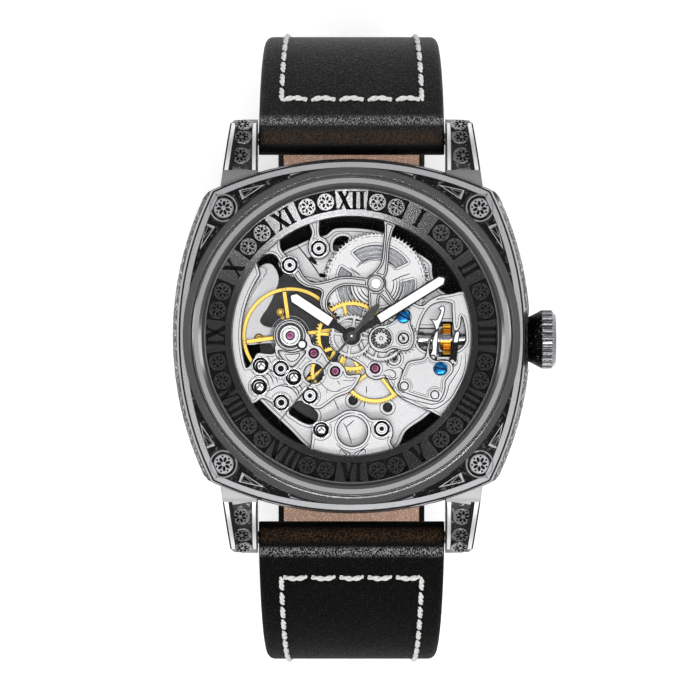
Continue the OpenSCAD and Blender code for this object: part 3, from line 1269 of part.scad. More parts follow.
module side_cut(w) { translate([-w / 2, 0, 0]) rotate([90, 0, 90]) linear_extrude(w) children(); }
module strap_sheet(path) {
    start = path[0];
    w = lug_gap / 2 - strap_gap;
    e = strap_end_w / 2;
    round_end = arc(strap_thick / 2, 270 - start[2], 90 - start[2], 12, [start[0], start[1]]);
    intersection() {
        side_cut(lug_gap) polygon(concat([for (p = path) across(p, 1)],
            [for (i = [len(path) - 1:-1:1]) across(path[i], -1)], [for (i = [0:11]) round_end[i]]));
        rotate([90, 0, 0]) linear_extrude(200, center = true)
            polygon([[w, 20], [w, 4], [e, -34], [e, -80], [-e, -80], [-e, -34], [-w, 4], [-w, 20]]);
    }
}
spring_bar_r = 0.8;
module spring_bar(y, z, gap, r) {
    translate([-gap / 2 + 0.05, y, z]) rotate([0, 90, 0]) cylinder(r = r, h = gap - 0.1, $fn = 32);
    translate([-gap / 2 - 1.4, y, z]) rotate([0, 90, 0]) cylinder(r = bar_hole_r - 0.03, h = gap + 2.8,
        $fn = 24);
}
module bar_bore(y, z, r) { translate([-20, y, z]) rotate([0, 90, 0]) cylinder(r = r, h = 40, $fn = 32); }
tongue_w = 1.8;
module strap_short() {
    color("#262626") difference() {
        union() {
            strap_sheet(short_path);
            side_cut(strap_end_w) translate([buckle_y, buckle_bar_z]) circle(fold_r, $fn = 48);
        }
        bar_bore(bar_up, bar_z, spring_bar_r + 0.05);
        bar_bore(buckle_y, buckle_bar_z, buckle_bar_r + 0.05);
        translate([-tongue_w / 2 - 0.3, buckle_y - 4, flat_z - 5]) cube([tongue_w + 0.6,
            4 + fold_r + 0.4, 12]);
    }
}
hole_pitch = 6.5;
tongue_hole_y = crossbar_y + 9;
module strap_hole(y, long) {
    for (s = [-1, 1]) translate([0, y + s * long / 2, floor_z - 2]) cylinder(r = 1.05, h = 10, $fn = 32);
    if (long > 0) translate([-1.05, y - long / 2, floor_z - 2]) cube([2.1, long, 10]);
}
tip_r = strap_end_w / 2 + 0.05;
module strap_long() {
    tip = last(long_path);
    color("#262626") difference() {
        mirror([0, 1, 0]) strap_sheet(long_path);
        bar_bore(-bar_low, bar_z, spring_bar_r + 0.05);
        strap_hole(tongue_hole_y, 1.6);
        for (k = [-1, 1, 2]) strap_hole(tongue_hole_y + k * hole_pitch, 0);
        translate([0, -tip[0], tip[1]]) rotate([tip[2] - 180, 0, 0]) translate([0, 0, -8]) linear_extrude(16)
            difference() {
                translate([-strap_end_w, -tip_r]) square([2 * strap_end_w, 2 * tip_r]);
                translate([0, -tip_r - 0.05]) circle(tip_r);
            }
    }
}
module spring_bars() {
    color("#b9bbc0") {
        spring_bar(bar_up, bar_z, lug_gap, spring_bar_r);
        spring_bar(-bar_low, bar_z, lug_gap, spring_bar_r);
        spring_bar(buckle_y, buckle_bar_z, buckle_gap, buckle_bar_r);
    }
}

// Buckle and keepers
buckle_gap = strap_end_w + 1;
arm_w = 2.4;
module buckle_frame() {
    b = [buckle_y, buckle_bar_z];
    side = [b + [1.5, -0.5], b + [1.2, 0.9], b + [0.2, 1.3], b + [-1.5, 1.2], b + [-6, 0.2],
        [crossbar_y + 2.2, floor_z + 2.9], [crossbar_y - 0.4, floor_z + buckle_wire],
        [crossbar_y - 1.2, floor_z + buckle_wire - 0.5], [crossbar_y - 1.2, floor_z + 0.5],
        [crossbar_y - 0.6, floor_z], [crossbar_y + 3, floor_z],
        [crossbar_y + 6, floor_z + 0.9], b + [-1.5, -1.5], b + [0.5, -1.4]];
    bar = [[crossbar_y - 1.2, floor_z + 0.5], [crossbar_y - 0.7, floor_z], [crossbar_y + 0.7, floor_z],
        [crossbar_y + 1.1, floor_z + 0.5], [crossbar_y + 1.1, floor_z + buckle_wire - 0.5],
        [crossbar_y + 0.7, floor_z + buckle_wire], [crossbar_y - 0.7, floor_z + buckle_wire],
        [crossbar_y - 1.2, floor_z + buckle_wire - 0.5]];
    color("#8a8c90") difference() {
        union() {
            for (s = [0, 1]) mirror([s, 0, 0]) translate([buckle_gap / 2 + arm_w / 2, 0,
                0]) side_cut(arm_w) polygon(side);
            side_cut(buckle_gap + arm_w) polygon(bar);
        }
        translate([-buckle_gap / 2 - 1.5, buckle_y, buckle_bar_z]) rotate([0, 90, 0])
            cylinder(r = bar_hole_r, h = buckle_gap + 3, $fn = 32);
        translate([-tongue_w / 2 - 0.15, crossbar_y - 5, floor_z - 1]) cube([tongue_w + 0.3, 10, 2.1]);
    }
}
module buckle_tongue() {
    b = [buckle_y, buckle_bar_z];
    foot = floor_z + 0.06;
    h = tongue_hole_y;
    top = [b + [-1, 0.55], b + [-3, 0.35], [h + 1.0, buckle_bar_z - 0.1], [h - 0.6, floor_z + 1.7],
        [h - 1.4, foot + 0.95], [crossbar_y - 1.0, foot + 0.95], [crossbar_y - 1.6, foot + 0.5],
        [crossbar_y - 1.4, foot], [h - 0.3, foot], [h + 0.5, floor_z + 1.2],
        [h + 1.5, buckle_bar_z - 1.2], b + [-2.5, -0.6], b + [-1, -0.55]];
    color("#8a8c90") difference() {
        side_cut(tongue_w) union() {
            polygon(top);
            translate(b) circle(buckle_bar_r + 0.6, $fn = 48);
        }
        bar_bore(buckle_y, buckle_bar_z, buckle_bar_r + run_fit);
    }
}
function rounded(w, z0, z1, r) = concat(arc(r, 0, 90, 5, [w / 2 - r, z1 - r]), arc(r, 90, 180, 5,
    [r - w / 2, z1 - r]),
    arc(r, 180, 270, 5, [r - w / 2, z0 + r]), arc(r, 270, 360, 5, [w / 2 - r, z0 + r]));
module keeper(y) {
    w = strap_end_w + 2 * strap_gap;
    top = flat_z + strap_thin / 2 + strap_gap;
    color("#232323") translate([0, y + keeper_w / 2, 0]) rotate([90, 0,
        0]) linear_extrude(keeper_w) difference() {
        polygon(rounded(w + 2 * keeper_t, floor_z, top + keeper_t, 1.2));
        polygon(rounded(w, floor_z + keeper_t, top, 0.3));
    }
}
fixed_keeper_y = buckle_y + fold_r + keeper_w / 2 + 0.5;
free_keeper_y = fixed_keeper_y + keeper_w + 1.6;
module fixed_keeper() { keeper(fixed_keeper_y); }
module free_keeper() { keeper(free_keeper_y); }

case_middle();
bezel();
crystal();
crystal_gasket();
case_back();
case_back_glass();
case_back_gasket();
case_ornaments();
dial_ring();
movement_ring();
crown();
crown_tube();
winding_stem();
winding_pinion();
sliding_pinion();
setting_lever();
yoke();
setting_cover();
motion_cover();
setting_wheel();
minute_wheel();
hour_wheel();
cannon_pinion();
centre_wheel();
third_wheel();
seconds_pinion();
fourth_wheel();
escape_wheel();
pallet_fork();
pallet_bridge();
balance_wheel();
hairspring();
balance_cock();
regulator();
shock_setting();
barrel();
mainspring();
barrel_arbor();
ratchet_wheel();
crown_wheel();
click();
main_plate();
front_bridge();
train_bridge();
barrel_bridge();
jewels();
bridge_screws();
blue_screws();
hour_hand();
minute_hand();
seconds_hand();
hour_insert();
minute_insert();
spring_bars();
strap_short();
strap_long();
buckle_frame();
buckle_tongue();
fixed_keeper();
free_keeper();
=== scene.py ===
# %% [markdown]
# # A square skeleton watch, dressed for its portrait
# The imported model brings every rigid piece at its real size. This lesson gives each piece its finish
# and adds what a drawing in millimetres leaves out: leather, thread, numerals and engraved relief.
# Everything is in metres, so lengths here are written in millimetres times mm.

# %% Load the model
import math
import json

import bpy
import bmesh
import numpy as np
from mathutils import Matrix, Vector
from mathutils.bvhtree import BVHTree

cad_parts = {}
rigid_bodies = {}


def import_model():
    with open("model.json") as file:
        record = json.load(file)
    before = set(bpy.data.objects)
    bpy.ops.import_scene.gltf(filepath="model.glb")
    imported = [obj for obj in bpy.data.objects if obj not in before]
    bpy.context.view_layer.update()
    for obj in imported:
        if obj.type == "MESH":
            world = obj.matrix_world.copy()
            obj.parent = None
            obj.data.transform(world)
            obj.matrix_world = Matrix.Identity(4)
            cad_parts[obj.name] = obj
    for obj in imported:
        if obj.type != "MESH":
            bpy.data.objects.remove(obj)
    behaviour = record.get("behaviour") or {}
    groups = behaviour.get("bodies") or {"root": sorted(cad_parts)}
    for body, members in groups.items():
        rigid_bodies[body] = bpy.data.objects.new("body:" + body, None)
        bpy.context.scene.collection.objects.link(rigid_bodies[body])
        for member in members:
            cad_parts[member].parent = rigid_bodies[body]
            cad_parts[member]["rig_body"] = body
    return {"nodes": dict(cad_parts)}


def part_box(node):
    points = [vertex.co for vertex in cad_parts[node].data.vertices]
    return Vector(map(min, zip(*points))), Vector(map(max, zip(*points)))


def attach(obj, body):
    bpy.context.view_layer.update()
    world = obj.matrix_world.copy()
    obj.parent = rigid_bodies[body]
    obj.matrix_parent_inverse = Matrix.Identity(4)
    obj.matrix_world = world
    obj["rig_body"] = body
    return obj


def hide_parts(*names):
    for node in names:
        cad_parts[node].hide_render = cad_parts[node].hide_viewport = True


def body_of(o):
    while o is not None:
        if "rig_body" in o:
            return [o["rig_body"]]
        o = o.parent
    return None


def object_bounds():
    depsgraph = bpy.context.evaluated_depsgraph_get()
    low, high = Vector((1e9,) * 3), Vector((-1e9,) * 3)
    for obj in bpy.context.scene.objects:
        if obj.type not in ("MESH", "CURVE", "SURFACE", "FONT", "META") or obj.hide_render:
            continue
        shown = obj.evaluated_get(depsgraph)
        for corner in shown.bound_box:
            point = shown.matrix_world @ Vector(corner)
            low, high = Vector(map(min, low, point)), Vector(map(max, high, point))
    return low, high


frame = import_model()
cad_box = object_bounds()
mm = 0.001
nodes = frame["nodes"]

# %% [markdown]
# ## Writing shaders as sums
# A finish is a tree of nodes. Wires between maths nodes are hard to read, so a small class wraps a
# socket and lets Python's own signs build the maths nodes behind it.

# %% A value that adds its own maths nodes
class Value:
    """An output socket of a finish, to be used in sums."""

    def __init__(self, finish, socket):
        self.finish = finish
        self.socket = socket

    def maths(self, operation, *others):
        sockets = dict(enumerate((self,) + others))
        return self.finish.add("ShaderNodeMath", {"operation": operation}, sockets)

    def __add__(self, other):
        return self.maths("ADD", other)

    def __sub__(self, other):
        return self.maths("SUBTRACT", other)

    def __rsub__(self, other):
        return self.finish.add("ShaderNodeMath", {"operation": "SUBTRACT"}, {0: other, 1: self})

    def __mul__(self, other):
        return self.maths("MULTIPLY", other)

    def __truediv__(self, other):
        return self.maths("DIVIDE", other)

    __radd__ = __add__
    __rmul__ = __mul__

    def ramp(self, low, high, to_low=0.0, to_high=1.0):
        """The value taken from low..high to to_low..to_high, with soft ends."""
        return self.finish.add(
            "ShaderNodeMapRange",
            {"interpolation_type": "SMOOTHSTEP"},
            {"Value": self, "From Min": low, "From Max": high, "To Min": to_low, "To Max": to_high},
        )

    def within(self, a, b, c, d):
        """1 from b to c, falling softly to 0 at a and at d."""
        return self.ramp(a, b) * (1 - self.ramp(c, d))


# %% A finish that adds any node
class Finish:
    """A material: its tree, and the one method that adds a node to it."""

    def __init__(self, name):
        self.material = bpy.data.materials.new(name)
        self.material.use_nodes = True
        self.tree = self.material.node_tree
        self.shader = self.tree.nodes["Principled BSDF"]
        self.place = self.add("ShaderNodeTexCoord", {}, {}, "Object")

    def plug(self, socket, value):
        if isinstance(value, Value):
            self.tree.links.new(value.socket, socket)
        elif hasattr(socket.default_value, "__len__") and not hasattr(value, "__len__"):
            socket.default_value = [value] * len(socket.default_value)
        else:
            socket.default_value = value

    def add(self, kind, settings, sockets, output=0):
        node = self.tree.nodes.new(kind)
        for name, setting in settings.items():
            setattr(node, name, setting)
        for name, value in sockets.items():
            self.plug(node.inputs[name], value)
        return Value(self, node.outputs[output])

    def set(self, **values):
        for name, value in values.items():
            self.plug(self.shader.inputs[name.replace("_", " ")], value)
        return self

    def mapped(self, scale, centre=(0, 0, 0)):
        """Object coordinates about a centre, times a scale."""
        moved = self.add("ShaderNodeVectorMath", {"operation": "SUBTRACT"}, {0: self.place, 1: centre})
        return self.add("ShaderNodeVectorMath", {"operation": "MULTIPLY"}, {0: moved, 1: scale})

    def axis(self, name, vector=None):
        """X, Y or Z of a vector, or of the object coordinates if none is given."""
        return self.add("ShaderNodeSeparateXYZ", {}, {0: self.place if vector is None else vector}, name)

    def noise(self, scale, detail=3):
        """Noise of one scale, or of three, one for each axis."""
        scales = scale if hasattr(scale, "__len__") else (scale,) * 3
        sockets = {"Vector": self.mapped(scales), "Scale": 1.0, "Detail": detail}
        return self.add("ShaderNodeTexNoise", {}, sockets)

    def rings(self, density, scale, centre=(0, 0, 0)):
        """The distance from an upright axis, and noise that runs in fine rings round it."""
        flat = self.mapped((1, 1, 0), centre)
        out = self.add("ShaderNodeVectorMath", {"operation": "LENGTH"}, {0: flat}, "Value")
        line = self.add("ShaderNodeCombineXYZ", {}, {"X": out * density})
        return out, self.add("ShaderNodeTexNoise", {}, {"Vector": line, "Scale": scale, "Detail": 2})

    def blend(self, factor, a, b):
        return self.add("ShaderNodeMix", {"data_type": "RGBA"}, {"Factor": factor, 6: a, 7: b}, 2)

    def bump(self, height, strength, depth, normal=None):
        sockets = {"Height": height, "Strength": strength, "Distance": depth}
        if normal is not None:
            sockets["Normal"] = normal
        return self.add("ShaderNodeBump", {}, sockets)

    def edges(self, radius, low=0.02, high=0.35):
        """1 along the rounded edges of a piece, 0 on its faces, and the rounded normal."""
        rounded = self.add("ShaderNodeBevel", {"samples": 4}, {"Radius": radius})
        face = self.add("ShaderNodeNewGeometry", {}, {}, "Normal")
        turn = self.add("ShaderNodeVectorMath", {"operation": "DOT_PRODUCT"}, {0: rounded, 1: face}, "Value")
        return (1 - turn).ramp(low * 0.5, high * 0.5), rounded

    def shade_mask(self, reach):
        """0 deep in a corner, 1 in the open: the mask by which shade beside walls is painted into a colour.
        """
        settings = {"samples": 4, "only_local": False}
        return self.add("ShaderNodeAmbientOcclusion", settings, {"Distance": reach}, "AO")


def tint(colour, share, most=1.0):
    """A colour made lighter or darker by a share, with no part of it above a limit."""
    return tuple(min(most, c * share) for c in colour[:3]) + (1,)


# %% [markdown]
# ## Metals
# The case is blackened steel polished on its high edges, the movement is silvered and finely frosted
# with bright bevels, the wheels are gilt. One recipe serves them all: a colour, a grain that follows
# the tool that made it, a painted highlight along each edge and painted shade in each corner.

# %% The recipe for metal
def metal(name, colour, rough, grain="frost", centre=(0, 0, 0), fine=1.0, edge=0.04, highlight_share=1.3, shade_share=0.55,
          reach=0.35, inside=None):
    finish = Finish(name)
    if grain == "rings":
        marks = finish.rings(26000 * fine, 0.5, centre)[1]
    else:
        marks = finish.noise(9000 * fine)
    clouds = finish.noise(260, 2)
    edge_mask, rounded = finish.edges(edge * mm)
    # Painted shade: the colour is darkened in corners and beside walls, where the occlusion mask finds them.
    open_sky = finish.shade_mask(reach * mm).ramp(0.3, 0.85)
    base = finish.blend(open_sky, tint(colour, shade_share), colour)
    # Painted highlight: the colour is made lighter along the rounded edges, which are also less rough.
    base = finish.blend(edge_mask * 0.8, base, tint(colour, highlight_share))
    roughness = (marks - 0.5) * 0.22 + (clouds - 0.5) * 0.1 + rough
    # Painted shade: above the given height the piece is painted near black and made rougher, for the dark
    # deep inside the watch.
    if inside is not None:
        painted_dark_inside = finish.axis("Z").ramp(inside, inside + 0.1 * mm)
        base = finish.blend(painted_dark_inside, base, (0.012, 0.012, 0.012, 1))
        roughness = roughness + painted_dark_inside * 0.5
    finish.set(Metallic=1.0, Roughness=roughness - edge_mask * (rough * 0.45), Base_Color=base,
               Normal=finish.bump(marks, 0.10, 0.004 * mm, rounded))
    return finish.material


GUNMETAL = (0.20, 0.20, 0.205, 1)
SILVER = (0.56, 0.56, 0.57, 1)
GILT = (0.95, 0.66, 0.16, 1)

# %% [markdown]
# ## Blackened, engraved steel
# On the case the low places are black, partly from the blackening left in them and partly as painted
# shade, and the high ones are polished back to bright steel. The flanks carry a fine scroll pattern,
# which a wave texture bent by noise draws at the right size.

# %% Finishes of the case
def engraved(name, pattern_low, pattern_high):
    """Polished gunmetal whose flanks are cut with scrolls, between two heights."""
    finish = Finish(name)
    edge_mask, rounded = finish.edges(0.10 * mm)
    open_sky = finish.shade_mask(0.9 * mm).ramp(0.35, 0.9)
    face = finish.add("ShaderNodeNewGeometry", {}, {}, "Normal")
    up = finish.axis("Z", face)
    height = finish.axis("Z")
    flank = (1 - up.maths("ABSOLUTE").ramp(0.35, 0.6)) * height.ramp(pattern_low, pattern_low + 0.2 * mm)
    flank = flank * (1 - height.ramp(pattern_high - 0.2 * mm, pattern_high))
    scrolls = finish.add(
        "ShaderNodeTexWave", {"wave_type": "RINGS", "rings_direction": "SPHERICAL"},
        {"Vector": finish.mapped((420, 420, 420)), "Scale": 1.3, "Distortion": 11.0, "Detail": 1.0,
         "Detail Scale": 1.4},
    ).ramp(0.45, 0.65)
    pits = finish.noise(2600, 2).ramp(0.40, 0.52)
    relief = scrolls * pits
    grain = finish.noise(7000)
    # Painted shade, partly the case's own blackening: the hollows found by the occlusion mask are near black.
    base = finish.blend(open_sky, (0.012, 0.012, 0.013, 1), GUNMETAL)
    panel = up.ramp(0.8, 0.95) * height.within(9.40 * mm, 9.42 * mm, 9.6 * mm, 9.7 * mm)
    stipple = finish.noise(2500, 2).ramp(0.55, 0.75)
    base = finish.blend(panel, base, finish.blend(stipple, (0.008, 0.008, 0.008, 1), (0.10, 0.10, 0.10, 1)))
    base = finish.blend(flank * (1 - relief), base, (0.01, 0.01, 0.01, 1))
    along = finish.axis("Y").maths("ABSOLUTE")
    below_top = 1 - height.ramp(9.0 * mm, 9.3 * mm)
    root = along.within(17.2 * mm, 17.8 * mm, 20.9 * mm, 21.4 * mm) * below_top
    base = finish.blend(root * up.ramp(0.5, 0.8), base, (0.24, 0.24, 0.24, 1))
    base = finish.blend(edge_mask * 0.75, base, (0.62, 0.62, 0.63, 1))
    finish.set(
        Metallic=1.0, Base_Color=base,
        Roughness=(grain - 0.5) * 0.1 + flank * (1 - relief) * 0.3 + root * 0.25 + 0.2 - edge_mask * 0.05,
        Normal=finish.bump(relief * flank, 0.9, 0.12 * mm, rounded),
    )
    return finish.material


def turned(name, colour, rough, slope, inner, outer, floor=None):
    """A ring turned on a lathe, its face a very flat cone, and black below a height if one is given."""
    finish = Finish(name)
    out, marks = finish.rings(30000, 0.4)
    edge_mask, rounded = finish.edges(0.05 * mm)
    cone = (out - inner).maths("MAXIMUM", 0.0).maths("MINIMUM", outer - inner) * slope
    # Painted highlight: the colour is made lighter along the rounded edges.
    base = finish.blend(edge_mask * 0.7, colour, tint(colour, 3.5, 0.7))
    metallic, roughness = 1.0, (marks - 0.5) * 0.12 + rough
    if floor is not None:
        raised = finish.axis("Z").ramp(floor, floor + 0.05 * mm)
        base = finish.blend(raised, (0.004, 0.004, 0.004, 1), base)
        metallic, roughness = raised, roughness.maths("MAXIMUM", 1 - raised)
    finish.set(Metallic=metallic, Base_Color=base, Roughness=roughness,
               Normal=finish.bump(cone, 1.0, 1.0, rounded))
    return finish.material


def plain(name, colour, rough, coat=0.0, speckle=0.0, shine=0.5):
    """Paint, plastic or rubber: a colour with a little unevenness, and how much its surface shines."""
    finish = Finish(name)
    spots = finish.noise(3000)
    base = finish.blend(spots, tint(colour, 1 - speckle), colour)
    finish.set(Base_Color=base, Roughness=(spots - 0.5) * 0.15 + rough,
               Specular_IOR_Level=shine, Coat_Weight=coat, Normal=finish.bump(spots, 0.05, 0.01 * mm))
    return finish.material


def crown_finish(cone_end):
    """Black speckled steel on the cone, and ribs beyond it, with painted shade between them and a painted
    highlight on their edges.
    """
    finish = Finish("crown_steel")
    edge_mask, rounded = finish.edges(0.12 * mm)
    band = finish.axis("X").ramp(cone_end - 0.08 * mm, cone_end + 0.02 * mm)
    grains = finish.noise(2600).ramp(0.60, 0.68)
    cone = finish.blend(grains, (0.008, 0.008, 0.008, 1), (0.20, 0.20, 0.21, 1))
    # Painted shade between the ribs, where the occlusion mask finds walls; the next line paints a highlight
    # on their rounded edges.
    ribs_with_painted_shade = finish.blend(finish.shade_mask(0.5 * mm).ramp(0.45, 0.8), (0.02, 0.02, 0.02, 1), (0.20, 0.20, 0.21, 1))
    base = finish.blend(band, cone, finish.blend(edge_mask, ribs_with_painted_shade, (0.55, 0.55, 0.56, 1)))
    finish.set(Metallic=1.0, Base_Color=base, Roughness=0.42 - band * 0.2 - grains * 0.1,
               Normal=finish.bump(grains, 0.6, 0.05 * mm, rounded))
    return finish.material


case_steel = engraved("case_steel", 1.3 * mm, 9.2 * mm)
crown_steel = crown_finish(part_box("crown")[0].x + 1.85 * mm)
bezel_steel = turned("bezel_steel", (0.27, 0.27, 0.275, 1), 0.16, 0.0, 18.9 * mm, 21.4 * mm)
dial_metal = turned("dial_metal", (0.085, 0.085, 0.087, 1), 0.15, 0.165, 15.2 * mm, 18.9 * mm,
                    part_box("dial_ring")[1].z - 0.2 * mm)
ornament_steel = metal("ornament_steel", (0.30, 0.30, 0.31, 1), 0.30, edge=0.06, shade_share=0.1, reach=0.3)
back_steel = metal("back_steel", (0.30, 0.30, 0.31, 1), 0.26, "rings", edge=0.08, inside=1.2 * mm)
black_ring = plain("black_ring", (0.012, 0.012, 0.012, 1), 0.5, speckle=0.3, shine=0.1)
print("case finishes made")

# %% Finishes of the movement
plate_silver = metal("plate_silver", SILVER, 0.27, edge=0.10, reach=0.45, shade_share=0.06)
bridge_silver = metal("bridge_silver", (0.53, 0.53, 0.54, 1), 0.24, edge=0.12, reach=0.45, shade_share=0.06)
lower_silver = metal("lower_silver", SILVER, 0.28, edge=0.08, reach=0.8, shade_share=0.05)
cover_silver = metal("cover_silver", SILVER, 0.25, edge=0.08, reach=0.4, shade_share=0.06)
barrel_silver = metal("barrel_silver", (0.66, 0.66, 0.67, 1), 0.26, "rings", (3.091 * mm, 6.690 * mm, 0),
                      reach=0.5, shade_share=0.06)
polished = metal("polished", (0.80, 0.81, 0.83, 1), 0.16, edge=0.05, shade_share=0.4, fine=0.6)
dark_steel = metal("dark_steel", (0.30, 0.30, 0.31, 1), 0.3, edge=0.05)
gilt = metal("gilt", GILT, 0.24, "rings", edge=0.04, shade_share=0.45, reach=0.25, highlight_share=1.2)
spring_steel = metal("spring_steel", (0.45, 0.47, 0.52, 1), 0.25, edge=0.02)
blued = metal("blued", (0.012, 0.13, 0.36, 1), 0.22, edge=0.05, highlight_share=3.0, shade_share=0.2)
print("movement finishes made")

# %% [markdown]
# ## Ruby, glass and paint
# The jewels are pale synthetic ruby. The crystal must hardly be seen from above, so it is mostly
# clear, with a film that mirrors only at a low angle.

# %% Clear and coloured finishes
def ruby_finish():
    finish = Finish("ruby")
    # Painted shade: the ruby is darker where the occlusion mask finds walls close by.
    depth = finish.shade_mask(0.4 * mm)
    clouds = finish.noise(2200, 2)
    base = finish.blend(clouds.ramp(0.35, 0.65), (0.25, 0.03, 0.11, 1), (0.52, 0.14, 0.36, 1))
    finish.set(Base_Color=finish.blend(depth, (0.2, 0.02, 0.1, 1), base), Roughness=0.08 + clouds * 0.02,
               Coat_Weight=0.6)
    return finish.material


def glass_finish():
    finish = Finish("glass")
    rim = finish.add("ShaderNodeLayerWeight", {}, {"Blend": 0.25}, "Facing")
    finish.set(Base_Color=(0.01, 0.012, 0.013, 1), Roughness=0.02, Alpha=rim.ramp(0.2, 1.0, 0.02, 0.45))
    return finish.material


def two_tone(name, colour, other, rough, axis, low, high):
    """Polished metal of one colour, and of another between two places along an axis."""
    finish = Finish(name)
    edge_mask, rounded = finish.edges(0.06 * mm)
    middle = finish.axis(axis).within(low, low + 0.04 * mm, high - 0.04 * mm, high)
    marks = finish.noise(9000)
    # Painted shade: near black in corners and beside walls, where the occlusion mask finds them.
    open_sky = finish.shade_mask(0.3 * mm).ramp(0.2, 0.6)
    base = finish.blend(open_sky, (0.01, 0.01, 0.01, 1), finish.blend(middle, colour, other))
    finish.set(Metallic=1.0, Base_Color=base, Roughness=(marks - 0.5) * 0.2 + rough - edge_mask * 0.08,
               Normal=finish.bump(marks, 0.1, 0.004 * mm, rounded))
    return finish.material


ruby = ruby_finish()
glass = glass_finish()
clutch_gilt = two_tone("clutch_gilt", (0.90, 0.46, 0.05, 1), (0.35, 0.36, 0.38, 1), 0.34, "Y",
                       -0.62 * mm, 0.30 * mm)
lever_steel = two_tone("lever_steel", (0.80, 0.81, 0.83, 1), (0.012, 0.012, 0.012, 1), 0.2, "Y",
                       -3.1 * mm, -0.75 * mm)
# Painted shade: the case-back glass is an opaque dark sheet that stands for the dark seen through the back.
back_glass_shade = plain("back_glass_painted_shade", (0.07, 0.07, 0.075, 1), 0.08, speckle=0.1, shine=0.3)
seal = plain("seal", (0.02, 0.02, 0.02, 1), 0.6, speckle=0.3)
hand_paint = metal("hand_paint", (0.024, 0.024, 0.025, 1), 0.3, edge=0.06, highlight_share=2.8, shade_share=0.8)
seconds_paint = plain("seconds_paint", (0.012, 0.012, 0.012, 1), 0.3, coat=0.3)
pale_filling = plain("pale_filling", (0.93, 0.94, 0.92, 1), 0.6, speckle=0.05)
numeral_black = plain("numeral_black", (0.004, 0.004, 0.004, 1), 0.5, speckle=0.2, shine=0.06)
print("clear and painted finishes made")

# %% [markdown]
# ## Dressing the rigid pieces
# The shapes of the metal pieces are already right, so each keeps its mesh and only changes its
# finish.

# %% One finish for each piece of the model
FINISH_OF = {
    case_steel: "case_middle", bezel_steel: "bezel", dial_metal: "dial_ring",
    ornament_steel: "case_ornaments",
    crown_steel: "crown", back_steel: "case_back buckle_frame buckle_tongue", black_ring: "movement_ring",
    dark_steel: "crown_tube spring_bars", plate_silver: "main_plate pallet_bridge",
    bridge_silver: "front_bridge balance_cock",
    lower_silver: "train_bridge barrel_bridge",
    cover_silver: "setting_cover motion_cover setting_wheel minute_wheel hour_wheel",
    barrel_silver: "barrel ratchet_wheel crown_wheel click",
    clutch_gilt: "winding_pinion", lever_steel: "setting_lever",
    polished: "winding_stem sliding_pinion yoke shock_setting seconds_pinion cannon_pinion "
              "escape_wheel pallet_fork barrel_arbor bridge_screws",
    gilt: "centre_wheel third_wheel fourth_wheel balance_wheel regulator",
    spring_steel: "hairspring mainspring", blued: "blue_screws", ruby: "jewels", glass: "crystal",
    back_glass_shade: "case_back_glass",
    seal: "crystal_gasket case_back_gasket", hand_paint: "hour_hand minute_hand",
    seconds_paint: "seconds_hand",
    pale_filling: "hour_insert minute_insert",
}
for finish, names in FINISH_OF.items():
    for name in names.split():
        slots = nodes[name].data.materials
        slots.clear()
        slots.append(finish)
print("dressed:", sum(len(v.split()) for v in FINISH_OF.values()))

# %% [markdown]
# ## Nodes that repeat a shape
# What repeats, such as the petals on the little discs or the stitches, is written once as a tree of
# Geometry Nodes. A small builder keeps that short: it adds a node, sets it and plugs its inputs.

# %% A builder for geometry trees
class Pattern:
    """A tree of Geometry Nodes with named inputs."""

    def __init__(self, name, inputs):
        self.tree = bpy.data.node_groups.new(name, "GeometryNodeTree")
        face = self.tree.interface
        face.new_socket("Geometry", in_out="INPUT", socket_type="NodeSocketGeometry")
        for label, kind in inputs.items():
            face.new_socket(label, in_out="INPUT", socket_type="NodeSocket" + kind)
        face.new_socket("Geometry", in_out="OUTPUT", socket_type="NodeSocketGeometry")
        self.source = self.tree.nodes.new("NodeGroupInput")
        self.end = self.tree.nodes.new("NodeGroupOutput")

    def given(self, name):
        return self.source.outputs[name]

    def add(self, kind, settings=None, sockets=None, output=0):
        node = self.tree.nodes.new(kind)
        for name, setting in (settings or {}).items():
            setattr(node, name, setting)
        for name, value in (sockets or {}).items():
            if isinstance(value, bpy.types.NodeSocket):
                self.tree.links.new(value, node.inputs[name])
            else:
                node.inputs[name].default_value = value
        return node.outputs[output]

    def maths(self, operation, a, b=0.0):
        return self.add("ShaderNodeMath", {"operation": operation}, {0: a, 1: b})

    def join(self, parts):
        joined = self.tree.nodes.new("GeometryNodeJoinGeometry")
        for part in parts:
            self.tree.links.new(part, joined.inputs[0])
        return joined.outputs[0]

    def finish(self, geometry):
        """Ends the tree: real geometry with its material set."""
        real = self.add("GeometryNodeRealizeInstances", {}, {"Geometry": geometry})
        made = self.add("GeometryNodeSetMaterial", {}, {"Geometry": real, "Material": self.given("Material")})
        self.tree.links.new(made, self.end.inputs["Geometry"])
        return self.tree


def new_object(name, data):
    """An object in the scene."""
    made = bpy.data.objects.new(name, data)
    bpy.context.scene.collection.objects.link(made)
    return made


def place_piece(name, mesh, body):
    """A mesh made into a piece that rides on a body."""
    piece = new_object(name, mesh)
    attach(piece, body)
    print(name, len(mesh.polygons), "faces")
    return piece


def grow(name, seed_mesh, tree, values, body):
    """Runs a tree on a mesh and keeps the result as a plain piece that rides on a body."""
    holder = new_object(name + "_seed", seed_mesh)
    modifier = holder.modifiers.new("pattern", "NODES")
    modifier.node_group = tree
    for item in tree.interface.items_tree:
        if item.in_out == "INPUT" and item.name in values:
            modifier[item.identifier] = values[item.name]
    bpy.context.view_layer.update()
    depsgraph = bpy.context.evaluated_depsgraph_get()
    mesh = bpy.data.meshes.new_from_object(holder.evaluated_get(depsgraph))
    holder.modifiers.clear()
    bpy.data.objects.remove(holder)
    for polygon in mesh.polygons:
        polygon.use_smooth = False
    place_piece(name, mesh, body)


